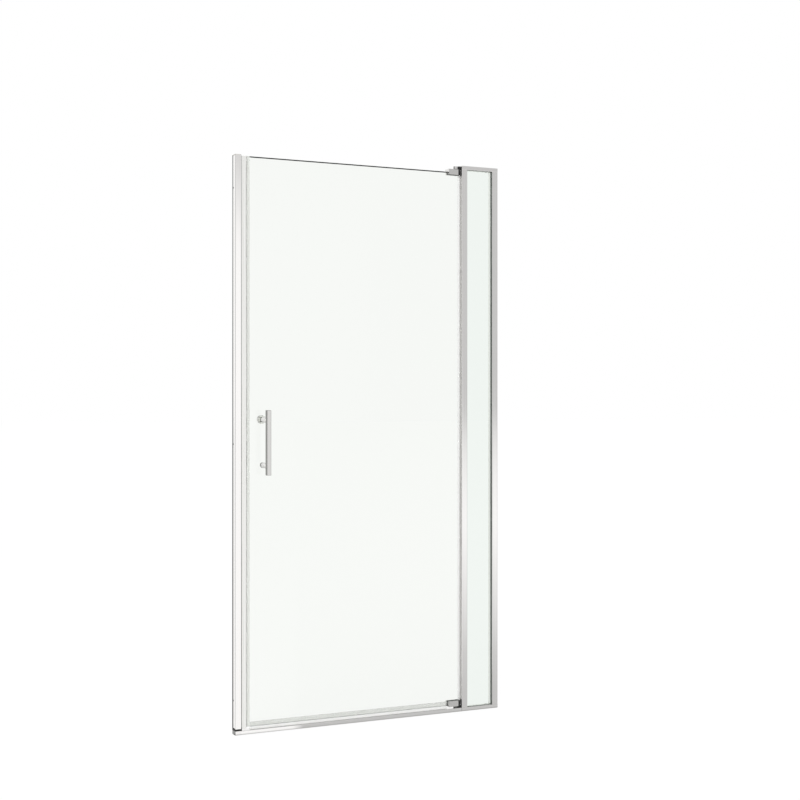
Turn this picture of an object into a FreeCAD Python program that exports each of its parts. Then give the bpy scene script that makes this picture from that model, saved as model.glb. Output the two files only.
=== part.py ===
"""Pivot shower door in line with a narrow fixed glass panel.

Frame: X runs along the door's width with +X to the right seen from outside, -Y points out of
the shower, +Z is up. The origin is at mid width, on the mid plane of the glass, at the base of
the sill. All sizes are in millimetres. The door is shown closed.
"""
import FreeCAD
import Part
import Sketcher
import os

doc = FreeCAD.newDocument("pivot_shower_door")
sheet = doc.addObject("Spreadsheet::Sheet", "Sizes")

# Each driving dimension: alias, value in mm (degrees or counts where the note says so), note.
SIZES = [
    # frame
    ("overall_width", 948, "left wall face to right wall face"),
    ("frame_depth", 30, "front to back of every frame extrusion"),
    ("frame_top", 1849, "top of the fixed panel's frame above the base"),
    ("rail_height", 13, "top rail"),
    ("sill_height", 12.5, "sill and bottom rail"),
    ("wall", 1.8, "wall of the extrusions"),
    ("edge_round", 1.2, "rounding of the extrusions' outer long edges"),
    # left wall channel, where the door closes
    ("left_channel_down", 20, "top of the left channel's cap below the frame's top"),
    ("left_face", 20, "face width of the left channel"),
    ("web_recess", 1.5, "web set back from the wall, for the silicone"),
    ("foot_height", 6.5, "rubber foot under the left channel"),
    ("foot_lip", 2, "foot standing past the channel's open side"),
    ("foot_lip_height", 5, "lip of the foot in front of the strike profile"),
    ("cap_plate", 2, "plate of the left channel's top cap"),
    ("cap_spigot", 1.5, "depth of the cap's spigot"),
    # strike profile, which slides in the left channel to take up the wall
    ("strike_reach", 17, "strike profile showing past the channel"),
    ("strike_inset", 5, "back of the strike profile from the wall face"),
    ("slide_gap", 0.2, "gap between sliding profiles"),
    ("groove_deep", 3, "groove for the strike's magnetic strip"),
    ("groove_wide", 10, "width of that groove"),
    ("strip_proud", 1.5, "strip standing out of its groove"),
    # wall fixing holes and profile screws
    ("wall_hole_r", 2.75, "radius of the wall fixing holes"),
    ("wall_hole_low", 106, "lowest wall hole above the base"),
    ("wall_hole_high", 104, "highest wall hole below the left channel's top"),
    ("wall_hole_back", 8, "wall holes behind the glass plane"),
    ("screw_r", 1.95, "shank of the frame's self-tapping screws"),
    ("screw_clear_r", 2.2, "clearance hole for them"),
    ("screw_head_r", 4, "pan head radius"),
    ("screw_head", 1.8, "pan head height"),
    ("screw_length", 6.8, "shank length under the head"),
    ("drive_r", 1.4, "corner radius of the hexagonal drive socket"),
    ("drive_deep", 1, "depth of the drive socket"),
    ("profile_screw_low", 140, "lowest profile screw above the base"),
    ("profile_screw_high", 139, "highest profile screw below the left channel's top"),
    ("profile_screw_in", 12, "profile screws from the wall face"),
    # fixed panel beside the hinges
    ("fixed_panel_width", 139, "post's left face to the right wall face"),
    ("post_face", 21, "face width of the pivot post"),
    ("right_face", 21, "face width of the right wall channel"),
    ("post_cell", 9, "depth of the post's inner cell, from its left face"),
    ("divider", 1.4, "web between the post's cell and its glazing slot"),
    ("glass_thick", 6, "tempered glass, door and fixed panel"),
    ("glass_edge_gap", 0.6, "fixed glass from the post's web and from the corner keys"),
    ("rail_bite", 6, "fixed glass inside the rails"),
    ("gasket_short", 1, "gaskets and beads in the rails, short of the glass's edge"),
    ("gasket_set", 0.5, "gaskets and beads set in from the frame's edge"),
    ("block_long", 30, "length of a setting block under the fixed glass"),
    ("block_in", 16, "setting blocks in from the fixed glass's ends"),
    ("coupler_long", 25, "coupler plate inside the sill"),
    ("coupler_thick", 3, "thickness of the coupler plate"),
    ("key_thick", 6, "corner key inside the right channel"),
    ("key_tall", 45, "height of a corner key from the rail's web"),
    ("key_screw_in", 24, "key screw past the rail's edge, along the channel"),
    # sill
    ("cap_fit", 0.15, "clearance of spigots and plates in hollow profiles"),
    ("end_spigot", 15, "spigot of the sill's end cap"),
    ("end_round", 2, "rounded outer corners of that end cap"),
    # door glass
    ("glass_right", 5, "glass edge from the post"),
    ("arris", 0.5, "ground arris on the glass edges"),
    # door seals
    ("lip_thick", 0.9, "wall of the clear seals on the glass"),
    ("magnet_pocket", 4, "magnet pocket in front of the glass edge"),
    ("magnet_pocket_wide", 10, "width of that pocket"),
    ("pocket_wall", 0.7, "wall of that pocket"),
    ("side_lip", 9, "closing side seal's lips on the glass"),
    ("hinge_lip", 4.5, "hinge side seal's lips on the glass"),
    ("bottom_lip", 13.5, "bottom seal's lips on the glass"),
    ("sweep_gap", 0.5, "running gap of the seals to the frame"),
    ("sweep_lean", 2, "lean of the bottom seal's sweep"),
    ("sweep_thick", 1, "thickness of the bottom seal's sweep"),
    ("fin_thick", 0.7, "fin on the hinge side"),
    # pivot hinges
    ("pivot_from_post", 18, "pivot axis from the post's left face"),
    ("clamp_long", 36, "length of a hinge clamp"),
    ("clamp_tall", 18.5, "height of a hinge clamp"),
    ("clamp_past_axis", 5, "clamp standing past the pivot axis"),
    ("clamp_round", 0.8, "rounded edges of the clamps"),
    ("top_clamp_over", 8.7, "top clamp standing over the glass"),
    ("bottom_clamp_under", 3.2, "bottom clamp standing under the glass"),
    ("top_hinge_gap", 2.6, "top clamp below its arm"),
    ("bottom_hinge_gap", 2.3, "bottom clamp above its arm"),
    ("pad_thick", 1, "rubber pad between clamp and glass"),
    ("pad_proud", 1.2, "pad showing round the clamp"),
    ("notch_past", 17.5, "glass notch, from the pivot axis towards the handle"),
    ("notch_cover", 3.5, "clamp covering the notch's inner edge"),
    ("bridge_back", 9, "clamp's bridge behind the glass plane"),
    ("bridge_gap", 0.2, "gap between the bridge and the inner clamp"),
    ("bush_r", 4, "outer radius of the pivot bush"),
    ("bush_fit", 0.03, "clearance round the bush in its clamp"),
    ("bush_play", 0.05, "running clearance round the pin"),
    ("bush_flange_r", 6.5, "radius of the bush's flange"),
    ("thrust_gap", 0.4, "gap between the bush's flange and the arm"),
    ("pin_r", 3, "pivot pin"),
    ("pin_end_gap", 1, "bore past the end of the pin"),
    ("clamp_screw_r", 2.5, "clamp screw"),
    ("clamp_screw_in", 11.5, "clamp screw from the pivot axis"),
    ("clamp_screw_head_r", 4.6, "countersunk head"),
    ("clamp_screw_long", 24, "length of the clamp screw"),
    ("end_cover_long", 8, "black end cover towards the post"),
    ("end_cover_wide", 24, "its width"),
    ("end_cover_round", 2, "its rounded corners"),
    # pivot arms
    ("arm_wide", 13, "pivot arm, and the diameter of its nose"),
    ("top_arm_thick", 8.5, "top arm"),
    ("bottom_arm_thick", 4, "bottom arm"),
    ("leg_tall", 56, "height of an arm's leg inside the post"),
    ("leg_screw_first", 20, "first leg screw from the arm"),
    ("leg_screw_pitch", 24, "from one leg screw to the next"),
    ("collar_long", 10.5, "black collar round the arm, beside the post"),
    ("collar_wide", 20, "its width"),
    ("collar_floor", 1.4, "its thickness on the door's side of the arm"),
    # handle
    ("handle_in", 55, "handle's centre line from the glass's left edge"),
    ("handle_mid", 920, "middle of the handle above the base"),
    ("handle_pitch", 145, "distance between the handle's fixings"),
    ("bar_long", 206, "length of the bar"),
    ("bar_wide", 14, "width of the bar"),
    ("bar_deep", 16, "depth of the bar"),
    ("bar_out", 53, "front of the bar from the glass"),
    ("bar_round", 1.5, "rounded edges of the bar"),
    ("standoff_r", 8.75, "handle's round standoffs"),
    ("washer_thick", 1, "clear washers on the glass"),
    ("glass_hole_r", 6, "holes in the glass"),
    ("stud_r", 4, "handle's threaded studs"),
    ("stud_bite", 16, "stud inside a standoff, cap nut or knob"),
    ("nut_thick", 6, "flat cap nut inside the lower fixing"),
    ("nut_bite", 4, "stud inside the cap nut"),
    ("nut_round", 1, "rounded rim of the cap nut"),
    ("knob_neck", 8, "neck of the inside knob"),
    ("knob_r", 13.8, "head of the inside knob"),
    ("knob_head", 14, "thickness of that head"),
    ("knob_round", 3, "rounded rim of that head"),
]
for row, (alias, value, note) in enumerate(SIZES, start=1):
    sheet.set(f"A{row}", alias)
    sheet.set(f"B{row}", str(value))
    sheet.set(f"C{row}", note)
    sheet.setAlias(f"B{row}", alias)
doc.recompute()


def size(alias):
    """The sheet's cell of this alias, as a word for an expression."""
    return f"Sizes.{alias}"


# Places that several pieces share, written as expressions on the sheet.
LEFT = f"(-{size('overall_width')} / 2)"
RIGHT = f"({size('overall_width')} / 2)"
FRONT = f"(-{size('frame_depth')} / 2)"
BACK = f"({size('frame_depth')} / 2)"
WALL = size("wall")
FRONT_IN = f"({FRONT} + {WALL})"
BACK_IN = f"({BACK} - {WALL})"
SILL = size("sill_height")
TOP = size("frame_top")
RAIL = f"({TOP} - {size('rail_height')})"

CHANNEL_FACE = f"({LEFT} + {size('left_face')})"
CHANNEL_LOW = f"({SILL} + {size('foot_height')})"
CAP_HIGH = f"({TOP} - {size('left_channel_down')})"
CHANNEL_HIGH = f"({CAP_HIGH} - {size('cap_plate')})"
LEFT_WEB = f"({LEFT} + {size('web_recess')})"
RIGHT_WEB = f"({RIGHT} - {size('web_recess')})"
STRIKE = f"({CHANNEL_FACE} + {size('strike_reach')})"
STRIKE_HIGH = f"({CHANNEL_HIGH} - {size('cap_spigot')} - {size('sweep_gap')})"
STRIKE_HALF = f"({BACK_IN} - {size('slide_gap')})"

POST = f"({RIGHT} - {size('fixed_panel_width')})"
POST_RIGHT = f"({POST} + {size('post_face')})"
POST_CELL = f"({POST} + {size('post_cell')})"
POST_SLOT = f"({POST_CELL} + {size('divider')})"
JAMB = f"({RIGHT} - {size('right_face')})"
KEY_RIGHT = f"({RIGHT_WEB} - {WALL} - {size('slide_gap')})"
KEY_LEFT = f"({KEY_RIGHT} - {size('key_thick')})"
KEY_X = f"(({KEY_LEFT} + {KEY_RIGHT}) / 2)"
FIXED_LEFT = f"({POST_SLOT} + {size('glass_edge_gap')})"
FIXED_RIGHT = f"({KEY_LEFT} - {size('glass_edge_gap')})"
FIXED_LOW = f"({SILL} - {size('rail_bite')})"
FIXED_HIGH = f"({RAIL} + {size('rail_bite')})"

BOTTOM_ARM_HIGH = f"({SILL} + {size('bottom_arm_thick')})"
TOP_ARM_HIGH = f"({TOP} - {WALL} - {size('slide_gap')} * 3)"
TOP_ARM_LOW = f"({TOP_ARM_HIGH} - {size('top_arm_thick')})"
TOP_CLAMP_HIGH = f"({TOP_ARM_LOW} - {size('top_hinge_gap')})"
TOP_CLAMP_LOW = f"({TOP_CLAMP_HIGH} - {size('clamp_tall')})"
BOTTOM_CLAMP_LOW = f"({BOTTOM_ARM_HIGH} + {size('bottom_hinge_gap')})"
BOTTOM_CLAMP_HIGH = f"({BOTTOM_CLAMP_LOW} + {size('clamp_tall')})"

STRIP = f"({STRIKE} + {size('strip_proud')})"
GLASS_LEFT = f"({STRIP} + {size('sweep_gap')} + {size('magnet_pocket')})"
GLASS_RIGHT = f"({POST} - {size('glass_right')})"
GLASS_LOW = f"({BOTTOM_CLAMP_LOW} + {size('bottom_clamp_under')})"
GLASS_HIGH = f"({TOP_CLAMP_HIGH} - {size('top_clamp_over')})"
GLASS_BACK = f"({size('glass_thick')} / 2)"
GLASS_FRONT = f"(-{size('glass_thick')} / 2)"
PAD_BACK = f"({GLASS_BACK} + {size('pad_thick')})"
PAD_FRONT = f"(-{PAD_BACK})"
LIP_BACK = f"({GLASS_BACK} + {size('lip_thick')})"
LIP_FRONT = f"(-{LIP_BACK})"

AXIS = f"({POST} - {size('pivot_from_post')})"
CLAMP_RIGHT = f"({AXIS} + {size('clamp_past_axis')})"
CLAMP_LEFT = f"({CLAMP_RIGHT} - {size('clamp_long')})"
NOTCH = f"({AXIS} - {size('notch_past')})"
BRIDGE = f"({NOTCH} + {size('pad_thick')})"
BRIDGE_BACK = size("bridge_back")
COVER_RIGHT = f"({CLAMP_RIGHT} + {size('end_cover_long')})"

HANDLE = f"({GLASS_LEFT} + {size('handle_in')})"
WASHER_BACK = f"({GLASS_BACK} + {size('washer_thick')})"
WASHER_FRONT = f"(-{WASHER_BACK})"
BAR_FRONT = f"({GLASS_FRONT} - {size('bar_out')})"
BAR_BACK = f"({BAR_FRONT} + {size('bar_deep')})"
HANDLE_LOW = f"({size('handle_mid')} - {size('handle_pitch')} / 2)"
HANDLE_HIGH = f"({size('handle_mid')} + {size('handle_pitch')} / 2)"
WALL_HOLE_HIGH = f"({CAP_HIGH} - {size('wall_hole_high')})"
WALL_HOLES = [
    size("wall_hole_low"),
    f"(({size('wall_hole_low')} + {WALL_HOLE_HIGH}) / 2)",
    WALL_HOLE_HIGH,
]
PROFILE_SCREW_X = f"({LEFT} + {size('profile_screw_in')})"
PROFILE_SCREW_HIGH = f"({CAP_HIGH} - {size('profile_screw_high')})"
PROFILE_SCREWS = [
    size("profile_screw_low"),
    f"(({size('profile_screw_low')} + {PROFILE_SCREW_HIGH}) / 2)",
    PROFILE_SCREW_HIGH,
]

PLANES = {"x": "YZ_Plane", "y": "XZ_Plane", "z": "XY_Plane"}
parts = []


# ------------------------------------------------------------------ building functions


def rectangle(low_a, low_b, high_a, high_b):
    """The four corners of a rectangle in a sketch."""
    return [(low_a, low_b), (high_a, low_b), (high_a, high_b), (low_a, high_b)]


def circle(a, b, radius):
    """A circle in a sketch."""
    return (a, b, radius)


def hold(sketch, kind, geometry, point, expression):
    """Tie one coordinate of a sketch point to an expression."""
    start = 1.0 + geometry + point
    index = sketch.addConstraint(Sketcher.Constraint(kind, -1, 1, geometry, point, start))
    sketch.setExpression(f"Constraints[{index}]", expression)


def draw_polygon(sketch, corners):
    """A closed outline of straight lines whose corners are all held by the sheet."""
    first = sketch.GeometryCount
    count = len(corners)
    for n in range(count):
        start = FreeCAD.Vector(n + 1, n % 2 + 1, 0)
        end = FreeCAD.Vector(n + 2, (n + 1) % 2 + 1, 0)
        sketch.addGeometry(Part.LineSegment(start, end), False)
    for n in range(count):
        following = first + (n + 1) % count
        sketch.addConstraint(Sketcher.Constraint("Coincident", first + n, 2, following, 1))
    for n, (a, b) in enumerate(corners):
        hold(sketch, "DistanceX", first + n, 1, a)
        hold(sketch, "DistanceY", first + n, 1, b)


def draw_circle(sketch, a, b, radius):
    """A circle whose centre and radius are held by the sheet."""
    index = sketch.GeometryCount
    shape = Part.Circle(FreeCAD.Vector(1, 1, 0), FreeCAD.Vector(0, 0, 1), 1)
    sketch.addGeometry(shape, False)
    hold(sketch, "DistanceX", index, 3, a)
    hold(sketch, "DistanceY", index, 3, b)
    radius_index = sketch.addConstraint(Sketcher.Constraint("Radius", index, 1.0))
    sketch.setExpression(f"Constraints[{radius_index}]", radius)


def draw(body, axis, loops, level):
    """A sketch square to an axis at a level. Its own axes are X, Y or X, Z or Y, Z."""
    sketch = body.newObject("Sketcher::SketchObject", body.Label + "_sketch")
    plane = [f for f in body.Origin.OriginFeatures if f.Role == PLANES[axis]][0]
    sketch.AttachmentSupport = [(plane, "")]
    sketch.MapMode = "FlatFace"
    # the XZ plane's normal points along -Y
    sign = "-" if axis == "y" else ""
    sketch.setExpression("AttachmentOffset.Base.z", f"{sign}({level})")
    for loop in loops:
        if isinstance(loop, list):
            draw_polygon(sketch, loop)
        else:
            draw_circle(sketch, *loop)
    return sketch


def new_body(label):
    """A body that becomes one sub-part."""
    body = doc.addObject("PartDesign::Body", label)
    body.Label = label
    parts.append(body)
    return body


def pad(body, axis, loops, low, high):
    """Material between two levels along an axis."""
    sketch = draw(body, axis, loops, f"(({low}) + ({high})) / 2")
    feature = body.newObject("PartDesign::Pad", body.Label + "_pad")
    feature.Profile = sketch
    feature.SideType = "Symmetric"
    feature.setExpression("Length", f"({high}) - ({low})")
    sketch.Visibility = False
    return feature


def pocket(body, axis, loops, low, high):
    """A cut between two levels along an axis, equal on both sides of its sketch."""
    sketch = draw(body, axis, loops, f"(({low}) + ({high})) / 2")
    doc.recompute()
    before = body.Shape.Volume
    feature = body.newObject("PartDesign::Pocket", body.Label + "_pocket")
    feature.Profile = sketch
    feature.SideType = "Symmetric"
    feature.setExpression("Length", f"({high}) - ({low})")
    doc.recompute()
    if not feature.Shape.Volume < before:
        raise RuntimeError(f"{body.Label}: a pocket removes nothing")
    return feature


def dress(body, kind, alias, chosen):
    """A fillet or chamfer on the edges of the body's tip that the test chooses."""
    doc.recompute()
    base = body.Tip
    names = [f"Edge{n}" for n, edge in enumerate(base.Shape.Edges, start=1) if chosen(edge)]
    if not names:
        raise RuntimeError(f"{body.Label}: no edge to dress")
    feature = body.newObject(f"PartDesign::{kind}", f"{body.Label}_{kind.lower()}")
    feature.Base = (base, names)
    feature.setExpression("Radius" if kind == "Fillet" else "Size", size(alias))
    return feature


def runs_along(edge, axis):
    """Whether an edge is straight along a global axis."""
    if not isinstance(edge.Curve, Part.Line):
        return False
    direction = edge.Curve.Direction
    return abs(getattr(direction, axis)) > 0.999


def is_round(edge, axis, radius_alias):
    """Whether an edge is a full circle about an axis with the radius of a cell."""
    if not isinstance(edge.Curve, Part.Circle) or len(edge.Vertexes) > 1:
        return False
    along = abs(getattr(edge.Curve.Axis, axis)) > 0.999
    return along and abs(edge.Curve.Radius - sheet.get(radius_alias)) < 0.001


def on_outside(edge, body, axes):
    """Whether an edge lies on the outer corners of its body's box, seen along the other axis."""
    box = body.Shape.BoundBox
    centre = edge.CenterOfMass
    limits = {
        "x": (box.XMin, box.XMax, centre.x),
        "y": (box.YMin, box.YMax, centre.y),
        "z": (box.ZMin, box.ZMax, centre.z),
    }
    return all(min(abs(c - low), abs(c - high)) < 0.001 for low, high, c in (limits[a] for a in axes))


def place(item, x, y, z):
    """Tie an object's position to three expressions."""
    item.setExpression("Placement.Base.x", x)
    item.setExpression("Placement.Base.y", y)
    item.setExpression("Placement.Base.z", z)


def box(label, low, high):
    """A block between two corners."""
    item = doc.addObject("Part::Box", label)
    item.Label = label
    item.setExpression("Length", f"({high[0]}) - ({low[0]})")
    item.setExpression("Width", f"({high[1]}) - ({low[1]})")
    item.setExpression("Height", f"({high[2]}) - ({low[2]})")
    place(item, *low)
    return item


def rod(label, axis, start, length, radius, kind="Cylinder"):
    """A cylinder along +Y or +Z from a start point, or a cone where two radii are given."""
    item = doc.addObject(f"Part::{kind}", label)
    item.Label = label
    if axis == "y":
        turn = FreeCAD.Rotation(FreeCAD.Vector(1, 0, 0), -90)
        item.Placement = FreeCAD.Placement(FreeCAD.Vector(0, 0, 0), turn)
    if kind == "Cylinder":
        item.setExpression("Radius", radius)
    else:
        item.setExpression("Radius1", radius[0])
        item.setExpression("Radius2", radius[1])
    item.setExpression("Height", length)
    place(item, *start)
    return item


def fuse(label, shapes):
    """One solid from several that touch."""
    item = doc.addObject("Part::MultiFuse", label)
    item.Label = label
    item.Shapes = shapes
    return item


def cut(label, base, tool):
    """A base with a tool's space taken out."""
    item = doc.addObject("Part::Cut", label)
    item.Label = label
    item.Base = base
    item.Tool = tool
    return item


def group(label, shapes):
    """Like pieces that share one node as separate solids."""
    item = doc.addObject("Part::Compound", label)
    item.Label = label
    item.Links = shapes
    parts.append(item)
    return item


def pan_screw(label, x, z):
    """A pan-head self-tapping screw, driven from inside the shower through the frame's back."""
    shank = rod(label + "_shank", "y", (x, f"{BACK} - {size('screw_length')}", z),
                size("screw_length"), size("screw_r"))
    head = rod(label + "_head", "y", (x, BACK, z), size("screw_head"), size("screw_head_r"))
    socket = doc.addObject("Part::Prism", label + "_socket")
    socket.Polygon = 6
    socket.setExpression("Circumradius", size("drive_r"))
    socket.setExpression("Height", size("drive_deep"))
    turn = FreeCAD.Rotation(FreeCAD.Vector(1, 0, 0), -90)
    socket.Placement = FreeCAD.Placement(FreeCAD.Vector(0, 0, 0), turn)
    place(socket, x, f"{BACK} + {size('screw_head')} - {size('drive_deep')}", z)
    return cut(label, fuse(label + "_blank", [shank, head]), socket)


# ------------------------------------------------------------------ left jamb


def left_wall_channel():
    """U channel fixed to the wall, open towards the door, with its web set back for silicone."""
    body = new_body("left_wall_channel")
    inner = f"({LEFT_WEB} + {WALL})"
    outline = [
        (LEFT, FRONT), (CHANNEL_FACE, FRONT), (CHANNEL_FACE, FRONT_IN), (inner, FRONT_IN),
        (inner, BACK_IN), (CHANNEL_FACE, BACK_IN), (CHANNEL_FACE, BACK), (LEFT, BACK),
        (LEFT, BACK_IN), (LEFT_WEB, BACK_IN), (LEFT_WEB, FRONT_IN), (LEFT, FRONT_IN),
    ]
    pad(body, "z", [outline], CHANNEL_LOW, CHANNEL_HIGH)
    holes = [circle(size("wall_hole_back"), z, size("wall_hole_r")) for z in WALL_HOLES]
    pocket(body, "x", holes, LEFT, f"{inner} + {WALL}")
    screws = [circle(PROFILE_SCREW_X, z, size("screw_clear_r")) for z in PROFILE_SCREWS]
    pocket(body, "y", screws, f"{BACK_IN} - {WALL} / 2", f"{BACK} + {WALL}")
    dress(body, "Fillet", "edge_round",
          lambda edge: runs_along(edge, "z") and on_outside(edge, body, "xy"))


def strike_profile():
    """Profile that slides in the left channel and carries the strike's magnetic strip."""
    body = new_body("strike_profile")
    back = f"({LEFT} + {size('strike_inset')})"
    groove = f"({STRIKE} - {size('groove_deep')})"
    inner = f"({groove} - {WALL})"
    half = f"({size('groove_wide')} / 2)"
    flange = f"({STRIKE_HALF} - {WALL})"
    outline = [
        (back, f"-{STRIKE_HALF}"), (STRIKE, f"-{STRIKE_HALF}"), (STRIKE, f"-{half}"),
        (groove, f"-{half}"), (groove, half), (STRIKE, half), (STRIKE, STRIKE_HALF),
        (back, STRIKE_HALF), (back, flange), (inner, flange), (inner, f"-{flange}"),
        (back, f"-{flange}"),
    ]
    pad(body, "z", [outline], CHANNEL_LOW, STRIKE_HIGH)
    screws = [circle(PROFILE_SCREW_X, z, size("screw_r")) for z in PROFILE_SCREWS]
    pocket(body, "y", screws, f"{flange} - {WALL}", BACK)


def strike_strip():
    """Magnetic strip pressed into the strike profile's groove."""
    half = f"({size('groove_wide')} / 2)"
    low = (f"{STRIKE} - {size('groove_deep')}", f"-{half}", CHANNEL_LOW)
    high = (STRIP, half, STRIKE_HIGH)
    parts.append(box("strike_magnetic_strip", low, high))


def left_channel_ends():
    """Cap over the left channel and the black rubber foot under it."""
    cap = new_body("left_channel_cap")
    plate = rectangle(LEFT, FRONT, CHANNEL_FACE, BACK)
    pad(cap, "z", [plate], CHANNEL_HIGH, CAP_HIGH)
    fit = size("cap_fit")
    spigot = rectangle(f"{LEFT_WEB} + {WALL} + {fit}", f"{FRONT_IN} + {fit}",
                       f"{CHANNEL_FACE} - {fit}", f"{BACK_IN} - {fit}")
    pad(cap, "z", [spigot], f"{CHANNEL_HIGH} - {size('cap_spigot')}", CHANNEL_HIGH)
    dress(cap, "Fillet", "edge_round",
          lambda edge: runs_along(edge, "z") and on_outside(edge, cap, "xy"))

    foot = new_body("left_channel_foot")
    lip = f"({CHANNEL_FACE} + {size('foot_lip')})"
    pad(foot, "z", [rectangle(LEFT, FRONT, lip, BACK)], SILL, CHANNEL_LOW)
    upstand = rectangle(CHANNEL_FACE, FRONT, lip, f"-{STRIKE_HALF}")
    pad(foot, "z", [upstand], CHANNEL_LOW, f"{CHANNEL_LOW} + {size('foot_lip_height')}")
    dress(foot, "Fillet", "edge_round",
          lambda edge: runs_along(edge, "z") and on_outside(edge, foot, "xy"))


def profile_screws():
    """Three screws that lock the strike profile in the left channel."""
    screws = [
        pan_screw(f"profile_screw_{n}", PROFILE_SCREW_X, z)
        for n, z in enumerate(PROFILE_SCREWS)
    ]
    group("profile_screws", screws)


# ------------------------------------------------------------------ sill and rails


def sill():
    """Hollow threshold under the door, from its end cap to the post."""
    body = new_body("sill")
    outer = rectangle(FRONT, "0", BACK, SILL)
    inner = rectangle(FRONT_IN, WALL, BACK_IN, f"{SILL} - {WALL}")
    pad(body, "x", [outer, inner], CHANNEL_FACE, POST)
    dress(body, "Fillet", "edge_round",
          lambda edge: runs_along(edge, "x") and on_outside(edge, body, "yz"))


def sill_end_cap():
    """End cap of the sill, under the left channel's foot, with a spigot in the sill."""
    body = new_body("sill_end_cap")
    pad(body, "x", [rectangle(FRONT, "0", BACK, SILL)], LEFT, CHANNEL_FACE)
    dress(body, "Fillet", "end_round",
          lambda edge: runs_along(edge, "z") and edge.CenterOfMass.x < body.Shape.CenterOfMass.x)
    fit = size("cap_fit")
    spigot = rectangle(f"{FRONT_IN} + {fit}", f"{WALL} + {fit}",
                       f"{BACK_IN} - {fit}", f"{SILL} - {WALL} - {fit}")
    pad(body, "x", [spigot], CHANNEL_FACE, f"{CHANNEL_FACE} + {size('end_spigot')}")


def u_rail(label, base, lip, web):
    """A rail of U section along X; base is the web's outside and lip the open edge."""
    body = new_body(label)
    outline = [
        (FRONT, lip), (FRONT, base), (BACK, base), (BACK, lip), (BACK_IN, lip),
        (BACK_IN, web), (FRONT_IN, web), (FRONT_IN, lip),
    ]
    pad(body, "x", [outline], POST, RIGHT)
    return body


def rails():
    """Bottom and top rail of the fixed panel, with holes for the corner keys' screws."""
    bottom = u_rail("bottom_rail", "0", SILL, WALL)
    screw = circle(KEY_X, f"{SILL} / 2", size("screw_clear_r"))
    pocket(bottom, "y", [screw], f"{BACK_IN} - {WALL} / 2", f"{BACK} + {WALL}")
    top = u_rail("top_rail", TOP, RAIL, f"{TOP} - {WALL}")
    screw = circle(KEY_X, f"({RAIL} + {TOP}) / 2", size("screw_clear_r"))
    pocket(top, "y", [screw], f"{BACK_IN} - {WALL} / 2", f"{BACK} + {WALL}")
    for body in (bottom, top):
        dress(body, "Fillet", "edge_round",
              lambda edge, b=body: runs_along(edge, "x") and on_outside(edge, b, "yz"))


def sill_coupler():
    """Flat plate inside the sill and the bottom rail that keeps them in line."""
    fit = size("cap_fit")
    low = (f"{POST} - {size('coupler_long')}", f"{FRONT_IN} + {fit}", f"{WALL} + {fit}")
    high = (POST_CELL, f"{BACK_IN} - {fit}", f"{WALL} + {fit} + {size('coupler_thick')}")
    parts.append(box("sill_coupler", low, high))


# ------------------------------------------------------------------ fixed panel

def pivot_post():
    """Upright beside the hinges: a closed cell for the arms and a slot for the fixed glass."""
    body = new_body("pivot_post")
    outer = [
        (POST, FRONT), (POST_RIGHT, FRONT), (POST_RIGHT, FRONT_IN), (POST_SLOT, FRONT_IN),
        (POST_SLOT, BACK_IN), (POST_RIGHT, BACK_IN), (POST_RIGHT, BACK), (POST, BACK),
    ]
    cell = rectangle(f"{POST} + {WALL}", FRONT_IN, POST_CELL, BACK_IN)
    pad(body, "z", [outer, cell], SILL, RAIL)
    half = f"({size('arm_wide')} / 2 + {size('slide_gap')})"
    mouth = rectangle(f"-{half}", SILL, half, f"{BOTTOM_ARM_HIGH} + {size('slide_gap')}")
    pocket(body, "x", [mouth], f"{POST} - {WALL}", f"{POST} + {WALL} * 1.5")
    screws = [circle(LEG_X, z, size("screw_clear_r")) for z in LEG_SCREWS]
    pocket(body, "y", screws, f"{BACK_IN} - {WALL} / 2", f"{BACK} + {WALL}")
    dress(body, "Fillet", "edge_round",
          lambda edge: runs_along(edge, "z") and on_outside(edge, body, "xy"))


def right_wall_channel():
    """U channel fixed to the right wall, open towards the fixed glass."""
    body = new_body("right_wall_channel")
    inner = f"({RIGHT_WEB} - {WALL})"
    outline = [
        (RIGHT, FRONT), (RIGHT, FRONT_IN), (RIGHT_WEB, FRONT_IN), (RIGHT_WEB, BACK_IN),
        (RIGHT, BACK_IN), (RIGHT, BACK), (JAMB, BACK), (JAMB, BACK_IN), (inner, BACK_IN),
        (inner, FRONT_IN), (JAMB, FRONT_IN), (JAMB, FRONT),
    ]
    pad(body, "z", [outline], SILL, RAIL)
    holes = [circle(size("wall_hole_back"), z, size("wall_hole_r")) for z in WALL_HOLES]
    pocket(body, "x", holes, f"{inner} - {WALL}", RIGHT)
    screws = [circle(KEY_X, z, size("screw_clear_r")) for z in KEY_SCREWS]
    pocket(body, "y", screws, f"{BACK_IN} - {WALL} / 2", f"{BACK} + {WALL}")
    dress(body, "Fillet", "edge_round",
          lambda edge: runs_along(edge, "z") and on_outside(edge, body, "xy"))


KEY_SCREWS = [f"({SILL} + {size('key_screw_in')})", f"({RAIL} - {size('key_screw_in')})"]
RAIL_SCREWS = [f"({SILL} / 2)", f"(({RAIL} + {TOP}) / 2)"]


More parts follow.
